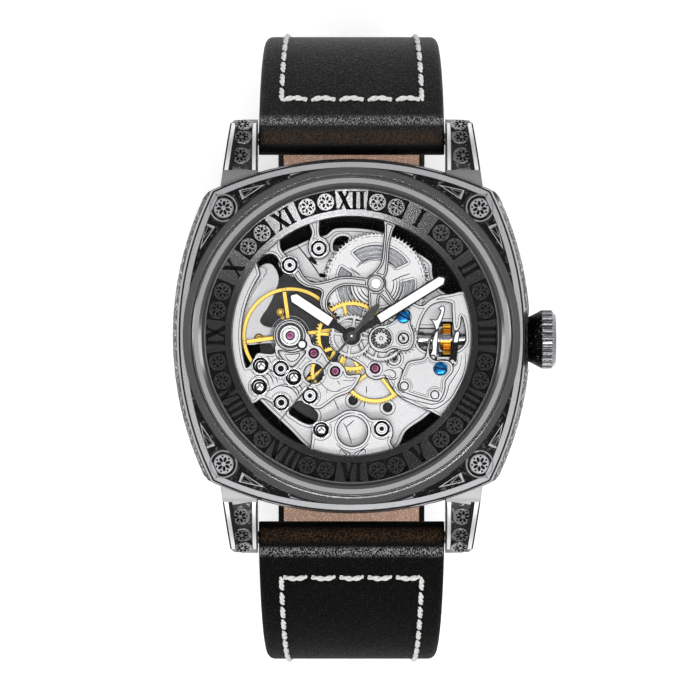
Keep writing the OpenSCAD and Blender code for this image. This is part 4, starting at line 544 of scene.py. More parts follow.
def seed_points(places):
    """A mesh of loose points, each with its turn and tilt, for a tree to build on."""
    mesh = bpy.data.meshes.new("places")
    mesh.from_pydata([p["at"] for p in places], [], [])
    for label in ("turn", "tilt"):
        layer = mesh.attributes.new(label, "FLOAT", "POINT")
        layer.data.foreach_set("value", [p.get(label, 0.0) for p in places])
    return mesh


# %% [markdown]
# ## The petal discs
# Forty little discs decorate the dial, the corners and the lugs. Each shows five drops round its
# middle and five dots between them, cut dark into the bright disc. The tree makes one such rosette
# from a drop and a dot, and then sets it on every disc.

# %% The rosette tree
def rosette_tree():
    p = Pattern("rosette", {"Radius": "Float", "Thickness": "Float", "Petals": "Int", "Petal": "Float",
                            "Material": "Material"})

    def ring(share, spin):
        radius = p.maths("MULTIPLY", p.given("Radius"), share)
        circle = p.add("GeometryNodeMeshCircle", {}, {"Vertices": p.given("Petals"), "Radius": radius})
        return p.add("GeometryNodeTransform", {}, {"Geometry": circle, "Rotation": (0, 0, spin)})

    def blot(corners, share, stretch):
        radius = p.maths("MULTIPLY", p.given("Radius"), share)
        flat = p.add("GeometryNodeMeshCircle", {"fill_type": "NGON"}, {"Vertices": corners, "Radius": radius})
        solid = p.add("GeometryNodeExtrudeMesh", {}, {"Mesh": flat, "Offset Scale": p.given("Thickness")})
        return p.add("GeometryNodeTransform", {}, {"Geometry": solid, "Scale": (stretch, 1, 1)})

    def around(points, shape):
        position = p.add("GeometryNodeInputPosition")
        outwards = p.add("FunctionNodeAlignRotationToVector", {"axis": "X"}, {"Vector": position})
        return p.add("GeometryNodeInstanceOnPoints", {},
                     {"Points": points, "Instance": shape, "Rotation": outwards})

    drops = around(ring(0.50, 0.0), blot(10, p.given("Petal"), 1.75))
    dots = around(ring(0.81, math.pi / 7), blot(7, 0.12, 1.0))
    both = p.join((drops, dots))
    turn = p.add("GeometryNodeInputNamedAttribute", {"data_type": "FLOAT"}, {"Name": "turn"})
    tilt = p.add("GeometryNodeInputNamedAttribute", {"data_type": "FLOAT"}, {"Name": "tilt"})
    leaning = p.add("FunctionNodeAxisAngleToRotation", {}, {"Axis": (1, 0, 0), "Angle": tilt})
    turning = p.add("FunctionNodeAxisAngleToRotation", {}, {"Axis": (0, 0, 1), "Angle": turn})
    spin = p.add("FunctionNodeRotateRotation", {"rotation_space": "LOCAL"},
                 {"Rotation": leaning, "Rotate By": turning})
    rosettes = p.add("GeometryNodeInstanceOnPoints", {},
                     {"Points": p.given("Geometry"), "Instance": both, "Rotation": spin})
    return p.finish(rosettes)


rosette = rosette_tree()
QUARTERS = [(sx, sy) for sx in (-1, 1) for sy in (-1, 1)]
dial_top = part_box("dial_ring")[1].z
stud_ring_r = 17.3 * mm
stud_turn = math.radians(4.05)
dial_places = []
for hour in range(12):
    for side in (-1, 1):
        angle = math.radians(15 + 30 * hour) + side * stud_turn
        dial_places.append({
            "at": (stud_ring_r * math.cos(angle), stud_ring_r * math.sin(angle), dial_top - 0.035 * mm),
            "turn": angle * 3,
        })
roundel_at, roundel_top = 16.2 * mm, 9.86 * mm
corner_places = [{"at": (x * roundel_at, y * roundel_at, roundel_top - 0.01 * mm), "turn": math.atan2(y, x)}
                 for x, y in QUARTERS]
LUG_ROOT, LUG_REACH = 17.0, 10.7
LUG_DISC_SUNK, LUG_DISC_HIGH = 0.59, 0.45


def lug_top(y):
    """Height of the lug's curved top, in millimetres, at a distance from the middle line."""
    share = (y - LUG_ROOT) / LUG_REACH
    return 8.9 - 0.5 * share - 5.4 * share**3.2


lug_places = []
for y in (22.75, 25.05, 26.7):
    slope = math.atan((lug_top(y + 0.05) - lug_top(y - 0.05)) / 0.1)
    x = 14.15 - 0.06 * (y - 22.75)
    for sx, sy in QUARTERS:
        face_y = y - math.sin(slope) * LUG_DISC_HIGH
        face_z = lug_top(y) - LUG_DISC_SUNK + LUG_DISC_HIGH * math.cos(slope) - 0.01
        at = (sx * x * mm, sy * face_y * mm, face_z * mm)
        lug_places.append({"at": at, "turn": x * y, "tilt": sy * slope})
for name, places, radius, petals, petal in (
        ("corner_rosettes", corner_places, 1.18, 7, 0.165), ("lug_rosettes", lug_places, 1.08, 7, 0.165),
        ("dial_rosettes", dial_places, 1.0, 6, 0.15)):
    grow(name, seed_points(places), rosette,
         {"Radius": radius * mm, "Thickness": 0.03 * mm, "Petals": petals, "Petal": petal,
          "Material": numeral_black}, "case")

# %% [markdown]
# ## Roman numerals
# The twelve hours are cut from straight strokes with small serifs. From eight to four they stand
# with their feet to the middle, and the lower ones are turned over, so that all can be read.

# %% Strokes and serifs
def stroke(a, b, width):
    """A slanted bar between two heights, cut level at its ends."""
    half = width / 2
    return [(a[0] - half, a[1]), (a[0] + half, a[1]), (b[0] + half, b[1]), (b[0] - half, b[1])]


SERIF = 0.07


def serif(x, y, width):
    half = width / 2
    return [(x - half, y), (x + half, y), (x + half, y + SERIF), (x - half, y + SERIF)]


def letter(kind, height):
    """The outlines of one Roman letter, about its middle, and its width."""
    top = height / 2
    if kind == "I":
        return [stroke((0, -top), (0, top), 0.21), serif(0, -top, 0.38), serif(0, top - SERIF, 0.38)], 0.40
    if kind == "V":
        bars = [stroke((0.02, -top), (-0.26, top), 0.26), stroke((0.0, -top), (0.24, top), 0.13)]
        return bars + [serif(-0.26, top - SERIF, 0.32), serif(0.25, top - SERIF, 0.26)], 0.72
    bars = [stroke((0.24, -top), (-0.24, top), 0.26), stroke((-0.24, -top), (0.24, top), 0.13)]
    feet = [serif(x, y, 0.28) for x in (-0.24, 0.24) for y in (-top, top - SERIF)]
    return bars + feet, 0.72


def lace(bm, near, far, closed=True):
    """Faces between two rows of corners; closed joins each row's last corner to its first."""
    count = len(near)
    made = []
    for i in range(count if closed else count - 1):
        k = (i + 1) % count
        made.append(bm.faces.new((near[i], near[k], far[k], far[i])))
    return made


def prism(bm, outline, low, high):
    """A straight-sided solid over a flat outline."""
    bottom = [bm.verts.new((x, y, low)) for x, y in outline]
    top = [bm.verts.new((x, y, high)) for x, y in outline]
    bm.faces.new(bottom[::-1])
    bm.faces.new(top)
    lace(bm, bottom, top)


def mesh_of(bm, name, *finishes):
    """A bmesh made into a mesh with its finishes; the bmesh is freed."""
    mesh = bpy.data.meshes.new(name)
    bm.to_mesh(mesh)
    bm.free()
    for finish in finishes:
        mesh.materials.append(finish)
    return mesh


def keep(bm, name, finish, body, smooth=False):
    """A bmesh made into a piece that rides on a body, with its faces outwards."""
    bmesh.ops.recalc_face_normals(bm, faces=bm.faces)
    mesh = mesh_of(bm, name, finish)
    for polygon in mesh.polygons:
        polygon.use_smooth = smooth
    place_piece(name, mesh, body)


# %% The twelve numerals
NUMERALS = ["XII", "I", "II", "III", "IIII", "V", "VI", "VII", "VIII", "IX", "X", "XI"]
NUMERAL_R = 17.2 * mm
NUMERAL_H = 2.35 * mm
bm = bmesh.new()
for hour, word in enumerate(NUMERALS):
    direction = math.radians(90 - 30 * hour)
    foot_in = hour not in (4, 5, 6, 7, 8)
    turn = direction - math.pi / 2 if foot_in else direction + math.pi / 2
    letters = [letter(kind, 1.0) for kind in word]
    squeeze = 0.92 if len(word) > 3 else 1.0
    x = -sum(width for _, width in letters) / 2
    for outlines, width in letters:
        for outline in outlines:
            corners = []
            for u, v in outline:
                spot = Vector(((u + x + width / 2) * NUMERAL_H * squeeze, v * NUMERAL_H, 0))
                spot.rotate(Matrix.Rotation(turn, 3, "Z"))
                corners.append((spot.x + NUMERAL_R * math.cos(direction),
                                spot.y + NUMERAL_R * math.sin(direction)))
            prism(bm, corners, dial_top - 0.02 * mm, dial_top + 0.012 * mm)
        x += width
keep(bm, "dial_numerals", numeral_black, "case")

# %% [markdown]
# ## The leather strap
# The strap is a band of leather that leaves the spring bar, falls round the wrist and comes back
# under it. Its centre line is a run of bends, as in the drawing. A section with rounded shoulders is
# carried along that line; its lower face becomes the brown lining.

# %% The two centre lines
def follow(start, runs, step=2.5):
    """Points (y, z, slope) along bends (radius, turn in degrees) and straights (0, length)."""
    y, z, slope = start
    line = [(y, z, slope)]
    for radius, amount in runs:
        parts = max(2, round(abs(amount) / step)) if radius else max(2, round(amount / 1.5))
        for k in range(1, parts + 1):
            share = k / parts
            if radius:
                a, b = math.radians(slope), math.radians(slope + amount * share)
                line.append((y + radius * (math.sin(b) - math.sin(a)),
                             z + radius * (math.cos(b) - math.cos(a)), slope + amount * share))
            else:
                a = math.radians(slope)
                line.append((y + amount * share * math.cos(a), z - amount * share * math.sin(a), slope))
        y, z, slope = line[-1]
    return line


BAR_Z = 3.0
START_SLOPE = 15
keeper_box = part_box("fixed_keeper")
strap_thin, strap_thick = 2.2, 4.1
upper = follow((25.2, BAR_Z, START_SLOPE), [(16.6, 75), (0, 5.3), (42, 25), (14, 65)])
flat_y, flat_z, _ = upper[-1]
BUCKLE_Y = 4.0
upper = upper[:-1] + follow(upper[-1], [(0, flat_y - BUCKLE_Y)])
floor_z = keeper_box[0].z / mm
long_z = floor_z + 2.2 + 0.1 + strap_thin / 2
tail_z = flat_z - strap_thin - 0.1
free_fall = follow((25.7, BAR_Z, START_SLOPE), [(20.4, 75), (42, 25), (14, 65)])
dip_r, dip = 14, 9
crossbar_y = BUCKLE_Y - 10
dip_from = crossbar_y + 1.2
print("flat z", flat_z, "floor", floor_z, "long", long_z)


# %% A band of leather along a centre line
def thickness(z):
    return strap_thin + (strap_thick - strap_thin) * min(1.0, max(0.0, (z + 30) / 30))


def half_width(z):
    return 10.0 + (11.9 - 10.0) * min(1.0, max(0.0, (z + 34) / 38))


def section(low, high, thick, shoulder):
    """Corners (x, d) of a band's section between two sides."""
    base = thick / 2
    edge = min(0.35, thick * 0.3)
    turns = [i * math.pi / 10 for i in range(6)]
    arc = [(shoulder - shoulder * math.sin(a), base - shoulder + shoulder * math.cos(a)) for a in turns]
    right = [(high - x, d) for x, d in arc]
    left = [(low + x, d) for x, d in arc]
    bottom = [(high, -base + edge), (high - edge, -base), (high - 0.75, -base)]
    back = [(low + 0.75, -base), (low + edge, -base), (low, -base + edge)]
    return left[::-1] + right + bottom + back


SECTION_LINING = 14  # the face between the two inner corners of the lower side


def band(bm, line, sides, ends=("round", "flat"), side_sign=1, shoulder=0.9):
    """Carries a section along a line, closes both ends and marks the lining faces."""
    frames = []
    for y, z, slope in line:
        low, high = sides(y, z)
        frames.append((y, z, slope, low, high, thickness(z), 1.0))
    if ends[0] == "round":
        y, z, slope, low, high, thick, _ = frames[0]
        a = math.radians(slope)
        cap = []
        for k in (5, 4, 3, 2, 1):
            turn = k * math.pi / 10.4
            back = thick / 2 * math.sin(turn)
            cap.append((y - back * math.cos(a), z + back * math.sin(a), slope, low, high, thick,
                        math.cos(turn)))
        frames = cap + frames
    rings = []
    for y, z, slope, low, high, thick, flatten in frames:
        a = math.radians(slope)
        soft = min(shoulder, thick * 0.32, (high - low) * 0.3)
        ring = []
        for x, d in section(low, high, thick, soft):
            out = d * flatten
            ring.append(bm.verts.new((x * mm, side_sign * (y + out * math.sin(a)) * mm,
                                      (z + out * math.cos(a)) * mm)))
        rings.append(ring)
    first_lining = 5 if ends[0] == "round" else 0
    for j, (ring, after) in enumerate(zip(rings, rings[1:])):
        for i, face in enumerate(lace(bm, ring, after)):
            face.smooth = True
            face.material_index = 1 if i == SECTION_LINING and j > first_lining + 1 else 0
    bm.faces.new(rings[0][::-1])
    bm.faces.new(rings[-1])


# %% [markdown]
# ## Leather
# Black calf leather is a fine net of cells whose creases carry painted shade, with scattered painted
# glints that are also less rough, and a painted sheen where the strap bends. The lining is plain brown
# leather, darker at its edges.

# %% Leather finishes
def leather(name, colour, shine, rough, fold_tan_and_painted_light=False):
    """Grained leather; with the fold option it has a tanned brown band and a band of painted highlight where
    it bends over its bar, and painted shade where it turns down.
    """
    finish = Finish(name)
    wander = finish.noise(900)
    cells = finish.add(
        "ShaderNodeTexVoronoi", {"feature": "DISTANCE_TO_EDGE"},
        {"Vector": finish.mapped((2600, 2600, 2600)), "Scale": 1.0, "Randomness": 1.0},
    ).ramp(0.0, 0.35)
    fine = finish.noise(9000, 2)
    height = cells * 0.75 + wander * 0.5 + fine * 0.2
    tone = finish.blend(wander.ramp(0.3, 0.7), tint(colour, 0.75), colour)
    # Painted shade: the creases between the cells are made darker.
    tone = finish.blend(cells, tint(colour, 0.6), tone)
    # Painted highlight: scattered specks are made lighter as glints on the grain, and less rough.
    painted_glints = finish.noise(5200, 2).ramp(0.56, 0.66)
    tone = finish.blend(painted_glints * 0.6, tone, tint(colour, 4))
    if fold_tan_and_painted_light:
        along = finish.axis("Y").maths("ABSOLUTE")
        above = finish.axis("Z").ramp(0.0, 1 * mm)
        grains = finish.noise((6500, 4200, 6500)).ramp(0.46, 0.60) * above
        # Painted highlight: lighter grains in a band where the strap bends over its bar.
        painted_highlight_band = along.within(26.7 * mm, 27.3 * mm, 27.6 * mm, 28.4 * mm)
        tanned = along.within(24.2 * mm, 24.8 * mm, 25.6 * mm, 26.6 * mm)
        # Painted shade: near black on the top where the strap turns down towards its bar.
        painted_shade_at_fold = (1 - along.ramp(24.0 * mm, 24.6 * mm)) * above
        tone = finish.blend(painted_highlight_band * grains, tone, (0.27, 0.27, 0.27, 1))
        tone = finish.blend(tanned * grains, tone, (0.055, 0.030, 0.014, 1))
        tone = finish.blend(painted_shade_at_fold, tone, (0.004, 0.004, 0.004, 1))
    finish.set(Base_Color=tone, Roughness=(fine - 0.5) * 0.35 + rough - cells * 0.08 - painted_glints * 0.16,
               Specular_IOR_Level=shine, Normal=finish.bump(height + painted_glints * 0.5, 1.0, 0.09 * mm))
    return finish.material


black_leather = leather("black_leather", (0.017, 0.017, 0.017, 1), 0.07, 0.5, fold_tan_and_painted_light=True)
# Painted shade: the long half gets a darker, less shiny copy of the same black leather.
shaded_copy_leather = leather("shaded_copy_leather", (0.006, 0.006, 0.006, 1), 0.02, 0.6, fold_tan_and_painted_light=True)
brown_lining = leather("brown_lining", (0.72, 0.44, 0.31, 1), 0.3, 0.6)


def keep_two(bm, name, finishes, body, nodes_replaced):
    """Like keep, for a leather piece with its own smooth faces, in place of pieces of the model."""
    bmesh.ops.remove_doubles(bm, verts=bm.verts, dist=0.001 * mm)
    bmesh.ops.recalc_face_normals(bm, faces=bm.faces)
    piece = place_piece(name, mesh_of(bm, name, *finishes), body)
    for node in nodes_replaced:
        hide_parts(node)
    return piece


# %% The short half, forked for the tongue and folded round the buckle's bar
TONGUE_SLOT = 1.2
SLOT_END_Y = BUCKLE_Y + 2.2
BAR_R, FOLD_R, FOLD_STEPS = 0.8, 1.8, 24
bar_line_z = flat_z - strap_thin / 2 + FOLD_R
bm = bmesh.new()
whole = [p for p in upper if not (p[2] > 89.9 and p[0] < SLOT_END_Y and p[1] < flat_z + 1)]
whole = [p for p in whole if not (abs(p[1] - flat_z) < 0.01 and p[0] < SLOT_END_Y)]
whole.append((SLOT_END_Y, flat_z, upper[-1][2]))
band(bm, whole, lambda y, z: (-half_width(z), half_width(z)))
for side in (-1, 1):
    low, high = sorted((side * TONGUE_SLOT, side * half_width(flat_z)))
    prong = [(SLOT_END_Y + 0.02, flat_z, 180), (BUCKLE_Y, flat_z, 180)]
    band(bm, prong, lambda y, z: (low, high), ("flat", "flat"))
    rings = []
    for k in range(FOLD_STEPS + 1):
        a = math.radians(-90 - 180 * k / FOLD_STEPS)
        rings.append([bm.verts.new((x * mm, (BUCKLE_Y + r * math.cos(a)) * mm,
                                    (bar_line_z + r * math.sin(a)) * mm))
                      for x, r in ((low, BAR_R), (low, FOLD_R), (high, FOLD_R), (high, BAR_R))])
    for ring, after in zip(rings, rings[1:]):
        lace(bm, ring, after)[1].smooth = True
    bm.faces.new(rings[0])
    bm.faces.new(rings[-1][::-1])
strap_short = keep_two(bm, "leather_short", [black_leather, brown_lining], "case", ["strap_short"])

# %% The long half, with its holes and rounded tip
def turned_out(line, last, radius):
    """How far the band has narrowed towards the rounded tip, for each point of its line."""
    left = 0.0
    narrow = {last: radius}
    for i in range(last, 0, -1):
        left += math.dist(line[i][:2], line[i - 1][:2])
        narrow[i - 1] = radius - math.sqrt(max(0.0, radius**2 - max(0.0, radius - left) ** 2))
    return narrow


fall = follow((25.7, BAR_Z, START_SLOPE), [(20.4, 75), (0, free_fall[-1][1] - long_z), (42, 25), (14, 65)])
dip_down = 2 * dip_r * (1 - math.cos(math.radians(dip)))
dip_line = (long_z - tail_z - dip_down) / math.sin(math.radians(dip))
dip_length = 2 * dip_r * math.sin(math.radians(dip)) + dip_line * math.cos(math.radians(dip))
tail_r = 14 + strap_thin + 0.1
lower = fall[:-1] + follow(fall[-1], [(0, fall[-1][0] + dip_from), (-dip_r, -dip), (0, dip_line),
                                      (dip_r, dip), (0, flat_y - dip_from - dip_length), (tail_r, 62)], 1.5)
TIP_R = 10.05
narrow = turned_out(lower, len(lower) - 1, TIP_R)
width_at = {}
for i, point in enumerate(lower):
    lost = max(0.0, narrow[i]) if i > len(lower) // 2 else 0.0
    width_at[point[:2]] = max(0.8, half_width(point[1]) - lost)
bm = bmesh.new()
band(bm, lower, lambda y, z: (-width_at[(y, z)], width_at[(y, z)]), side_sign=-1)
strap_long = keep_two(bm, "leather_long", [shaded_copy_leather, brown_lining], "case", ["strap_long"])

bm = bmesh.new()
TONGUE_HOLE_Y, HOLE_PITCH, HOLE_R = crossbar_y + 9, 6.5, 1.05
for k in (-1, 0, 1, 2):
    y = TONGUE_HOLE_Y + k * HOLE_PITCH
    reach = 0.8 if k == 0 else 0.0
    outline = [(HOLE_R * math.cos(a), y + math.copysign(reach, math.sin(a)) + HOLE_R * math.sin(a))
               for a in (math.radians(7.5 + 15 * i) for i in range(24))]
    prism(bm, [(x * mm, y * mm) for x, y in outline], (floor_z - 2) * mm, (floor_z + 7) * mm)
bmesh.ops.recalc_face_normals(bm, faces=bm.faces)
cutter = new_object("hole_cutter", mesh_of(bm, "hole_cutter"))
cut = strap_long.modifiers.new("holes", "BOOLEAN")
cut.operation, cut.solver, cut.object = "DIFFERENCE", "EXACT", cutter
bpy.context.view_layer.update()
pierced = bpy.data.meshes.new_from_object(strap_long.evaluated_get(bpy.context.evaluated_depsgraph_get()))
strap_long.modifiers.clear()
strap_long.data = pierced
bpy.data.objects.remove(cutter)
print("holes cut, faces", len(pierced.polygons))

# %% [markdown]
# ## Keepers
# Two leather loops hold the loose end. Each is a strip bent round the two layers, so its section is
# carried round a rectangle with rounded corners.

# %% Leather loops
def loop_line(half_w, low, high, radius):
    """Points and outward directions round a rounded rectangle in the plane across the strap."""
    line = []
    corners = [(half_w - radius, high - radius, 0), (radius - half_w, high - radius, 90),
               (radius - half_w, low + radius, 180), (half_w - radius, low + radius, 270)]
    for x, z, start in corners:
        for k in range(7):
            a = math.radians(start + 15 * k)
            line.append((x + radius * math.cos(a), z + radius * math.sin(a), math.cos(a), math.sin(a)))
    return line


for name, body in (("fixed_keeper", "case"), ("free_keeper", "keeper")):
    low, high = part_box(name)
    middle, half = (low.y + high.y) / 2, (high.y - low.y) / 2
    thick = 1.0 * mm
    half_w = (high.x - low.x) / 2 - thick / 2
    bm = bmesh.new()
    soft = 0.25 * mm
    profile = [(-half + soft, thick / 2), (half - soft, thick / 2), (half, thick / 2 - soft),
               (half, -thick / 2), (-half, -thick / 2), (-half, thick / 2 - soft)]
    rings = []
    for x, z, nx, nz in loop_line(half_w, low.z + thick / 2, high.z - thick / 2, 0.75 * mm):
        rings.append([bm.verts.new((x + d * nx, middle + y, z + d * nz)) for y, d in profile])
    for ring, after in zip(rings, rings[1:] + rings[:1]):
        lace(bm, ring, after)[0].smooth = True
    loop = keep_two(bm, "leather_" + name, [black_leather], body, [name])

# %% [markdown]
# ## Stitches
# Waxed white thread runs round the padded part. Each stitch is two strands twisted together that
# rise out of the leather and dive back. The tree walks along a row, stops at each stitch and turns
# the rope to the row and to the surface.

# %% The stitch tree
def stitch_tree():
    p = Pattern("stitches", {"Pitch": "Float", "Length": "Float", "Rise": "Float", "Strand": "Float",
                             "Material": "Material"})

    maths = p.maths
    row = p.add("GeometryNodeMeshToCurve", {}, {"Mesh": p.given("Geometry")})
    stops = p.add("GeometryNodeResampleCurve", {"mode": "LENGTH"}, {"Curve": row, "Length": p.given("Pitch")})
    up = p.add("GeometryNodeInputNamedAttribute", {"data_type": "FLOAT_VECTOR"}, {"Name": "up"})
    along = p.add("GeometryNodeInputTangent")
    face_up = p.add("FunctionNodeAlignRotationToVector", {"axis": "Z"}, {"Vector": up})
    turned_along = p.add("FunctionNodeAlignRotationToVector", {"axis": "X", "pivot_axis": "Z"},
                         {"Rotation": face_up, "Vector": along})

    half = maths("MULTIPLY", p.given("Length"), 0.5)
    left = p.add("ShaderNodeCombineXYZ", {}, {"X": maths("MULTIPLY", half, -1.0)})
    right = p.add("ShaderNodeCombineXYZ", {}, {"X": half})
    core = p.add("GeometryNodeCurvePrimitiveLine", {}, {"Start": left, "End": right})
    core = p.add("GeometryNodeResampleCurve", {}, {"Curve": core, "Count": 17})
    place = p.add("GeometryNodeInputPosition")
    x = p.add("ShaderNodeSeparateXYZ", {}, {0: place}, "X")
    share = maths("DIVIDE", x, half)
    arch = maths("MULTIPLY", maths("SUBTRACT", 1.0, maths("MULTIPLY", share, share)), p.given("Rise"))
    twist = maths("MULTIPLY", share, 4.2)
    ring = p.add("GeometryNodeCurvePrimitiveCircle", {}, {"Resolution": 7, "Radius": p.given("Strand")})
    apart = maths("MULTIPLY", p.given("Strand"), 0.75)
    tubes = []
    for phase in (0.0, math.pi):
        angle = maths("ADD", twist, phase)
        wound = p.add("ShaderNodeCombineXYZ", {}, {
            "Y": maths("MULTIPLY", maths("SINE", angle), apart),
            "Z": maths("ADD", arch, maths("MULTIPLY", maths("COSINE", angle), apart)),
        })
        strand = p.add("GeometryNodeSetPosition", {}, {"Geometry": core, "Offset": wound})
        tubes.append(p.add("GeometryNodeCurveToMesh", {},
                           {"Curve": strand, "Profile Curve": ring, "Fill Caps": True}))
    sewn = p.add("GeometryNodeInstanceOnPoints", {},
                 {"Points": stops, "Instance": p.join(tubes), "Rotation": turned_along})
    return p.finish(sewn)


def thread_finish():
    finish = Finish("thread")
    fibres = finish.noise(12000)
    tone = finish.blend(fibres.ramp(0.3, 0.65), (0.36, 0.35, 0.33, 1), (0.84, 0.83, 0.81, 1))
    finish.set(Base_Color=tone, Roughness=0.85 - fibres * 0.15, Normal=finish.bump(fibres, 0.5, 0.05 * mm))
    return finish.material


thread = thread_finish()
stitches = stitch_tree()


# %% Rows of stitches on the strap's outer face
def row_mesh(points):
    """A chain of edges with the outward direction of the strap stored at each point."""
    mesh = bpy.data.meshes.new("row")
    places = [p for p, _ in points]
    mesh.from_pydata(places, [(i, i + 1) for i in range(len(places) - 1)], [])
    layer = mesh.attributes.new("up", "FLOAT_VECTOR", "POINT")
    layer.data.foreach_set("vector", [c for _, up in points for c in up])
    return mesh


def on_strap(line_point, x, side_sign, lift=0.0):
    y, z, slope = line_point
    a = math.radians(slope)
    out = thickness(z) / 2 + lift
    return ((x * mm, side_sign * (y + out * math.sin(a)) * mm, (z + out * math.cos(a)) * mm),
            (0.0, side_sign * math.sin(a), math.cos(a)))


STITCH = {"Pitch": 2.35 * mm, "Length": 1.80 * mm, "Rise": 0.30 * mm, "Strand": 0.20 * mm, "Material": thread}
ROW_INSET = 2.8
row_number = 0
for line, side_sign, slope_from, slope_across in ((upper, 1, 32.5, 30), (lower, -1, 29.5, 27)):
    down = [p for p in line[: int(len(line) * 0.55)] if p[2] >= slope_from and p[1] > -36]
    crossing = min(line[: int(len(line) * 0.3)], key=lambda p: abs(p[2] - slope_across))
    for side in (-1, 1):
        row_number += 1
        points = [on_strap(p, side * (half_width(p[1]) - ROW_INSET), side_sign, -0.2) for p in down]
        grow("stitch_row_%d" % row_number, row_mesh(points), stitches, STITCH, "case")
    row_number += 1
    reach = half_width(crossing[1]) - ROW_INSET - 1.75
    points = [on_strap(crossing, -reach + 2 * reach * i / 12, side_sign, -0.08) for i in range(13)]
    across = dict(STITCH, Pitch=2 * reach * mm / 4 - 0.001 * mm, Length=2.9 * mm, Rise=0.5 * mm)
    grow("stitch_row_%d" % row_number, row_mesh(points), stitches, across, "case")

# %% [markdown]
# ## Lines that follow every edge
# The bridges show their edges as lines: a black line of painted shade along the bevel and engraved
# lines that run beside it. The outline of each flat top is read from the mesh itself, walked in
# order and moved inwards, so each line keeps its distance from the edge wherever the edge goes.

# %% Outlines of a flat top
def outlines_of(node, low, high):
    """The closed outlines, in order and with the metal on their left, of faces that look up."""
    bm = bmesh.new()
    bm.from_mesh(nodes[node].data)
    bmesh.ops.remove_doubles(bm, verts=bm.verts, dist=0.0005 * mm)
    bm.normal_update()
    others = [f for f in bm.faces if f.normal.z < 0.98 or not low < f.calc_center_median().z / mm < high]
    bmesh.ops.delete(bm, geom=others, context="FACES")
    following = {}
    for edge in bm.edges:
        if len(edge.link_faces) == 1:
            corner = edge.link_loops[0]
            following[corner.vert.index] = (corner.link_loop_next.vert.index, tuple(corner.vert.co))
    loops = []
    while following:
        start = next(iter(following))
        loop, at = [], start
        while at in following:
            after, co = following.pop(at)
            loop.append(co)
            at = after
        if len(loop) > 5:
            loops.append(np.array(loop))
    bm.free()
    return loops


def evenly(loop, gap):
    """The same closed outline with points at even distances."""
    closed = np.vstack([loop, loop[:1]])
    lengths = np.linalg.norm(np.diff(closed, axis=0), axis=1)
    at = np.concatenate([[0], np.cumsum(lengths)])
    count = max(8, int(at[-1] / gap))
    places = np.linspace(0, at[-1], count, endpoint=False)
    return np.stack([np.interp(places, at, closed[:, i]) for i in range(3)], axis=1)


def moved_in(points, distance):
    """Each point moved to the left of its outline."""
    along = np.roll(points, -1, axis=0) - np.roll(points, 1, axis=0)
    along /= np.maximum(np.linalg.norm(along, axis=1, keepdims=True), 1e-9)
    left = np.stack([-along[:, 1], along[:, 0], np.zeros(len(points))], axis=1)
    return points + left * distance


def clear_of(points, walls, distance):
    """True where a point keeps its distance from every outline."""
    near = np.full(len(points), np.inf)
    for wall in walls:
        gaps = np.linalg.norm(points[:, None, :2] - wall[None, :, :2], axis=2)
        near = np.minimum(near, gaps.min(axis=1))
    return near > distance


def edge_ribbons(bm, node, low, high, bands, step=0.12, lift=0.006):
    """Flat lines at chosen distances inside every outline of a top."""
    walls = [evenly(loop, step * mm) for loop in outlines_of(node, low, high)]
    for wall in walls:
        for start, end in bands:
            rows = [moved_in(wall, d * mm) for d in (start, (start + end) / 2, end)]
            fine = clear_of(rows[2], walls, (end - 0.35 * (end - start) - 0.04) * mm)
            made = [[bm.verts.new((x, y, z + lift * mm)) for x, y, z in row] for row in rows]
            count = len(wall)
            for i in range(count):
                k = (i + 1) % count
                if fine[i] and fine[k]:
                    for j in (0, 1):
                        bm.faces.new((made[j][i], made[j][k], made[j + 1][k], made[j + 1][i]))
    bmesh.ops.delete(bm, geom=[v for v in bm.verts if not v.link_faces], context="VERTS")


def keep_upward(bm, name, finish, body):
    """Keeps a bmesh of thin sheets, all of them facing up."""
    bm.normal_update()
    for face in bm.faces:
        if face.normal.z < 0:
            face.normal_flip()
    place_piece(name, mesh_of(bm, name, finish), body)


# %% Painted shade along the bevels and edges, and engraved borders
line_black = plain("line_black", (0.015, 0.015, 0.015, 1), 0.5, speckle=0.3, shine=0.06)
gilt_edge_shade = plain("gilt_edge_shade", (0.16, 0.07, 0.01, 1), 0.4, speckle=0.3, shine=0.2)
# A band that starts at the edge is painted shade along it; the other bands are engraved borders.
PAINTED_BEVEL_SHADE = (0.0, 0.13)
BORDERS = {
    "front_bridge": (7.0, 7.1, [PAINTED_BEVEL_SHADE, (0.26, 0.38)]),
    "main_plate": (6.55, 6.65, [PAINTED_BEVEL_SHADE, (0.38, 0.45)]),
    "setting_cover": (7.25, 7.35, [PAINTED_BEVEL_SHADE, (0.34, 0.41), (0.56, 0.61)]),
    "motion_cover": (7.7, 7.8, [PAINTED_BEVEL_SHADE, (0.30, 0.36)]),
    "barrel_bridge": (3.5, 3.6, [PAINTED_BEVEL_SHADE, (0.45, 0.53)]),
    "train_bridge": (3.5, 3.6, [PAINTED_BEVEL_SHADE, (0.45, 0.53)]),
    "pallet_bridge": (4.3, 4.4, [PAINTED_BEVEL_SHADE]),
    "setting_lever": (6.9, 7.0, [PAINTED_BEVEL_SHADE]),
    "yoke": (6.9, 7.0, [PAINTED_BEVEL_SHADE]),
    "click": (2.0, 5.0, [PAINTED_BEVEL_SHADE]),
    "barrel": (5.1, 5.2, [(0.0, 0.07), (0.3, 0.36)]),
    "minute_wheel": (6.9, 7.5, [(0.0, 0.06)]),
    "setting_wheel": (7.2, 7.8, [(0.0, 0.06)]),
    "hour_wheel": (7.2, 7.4, [(0.0, 0.06)]),
}
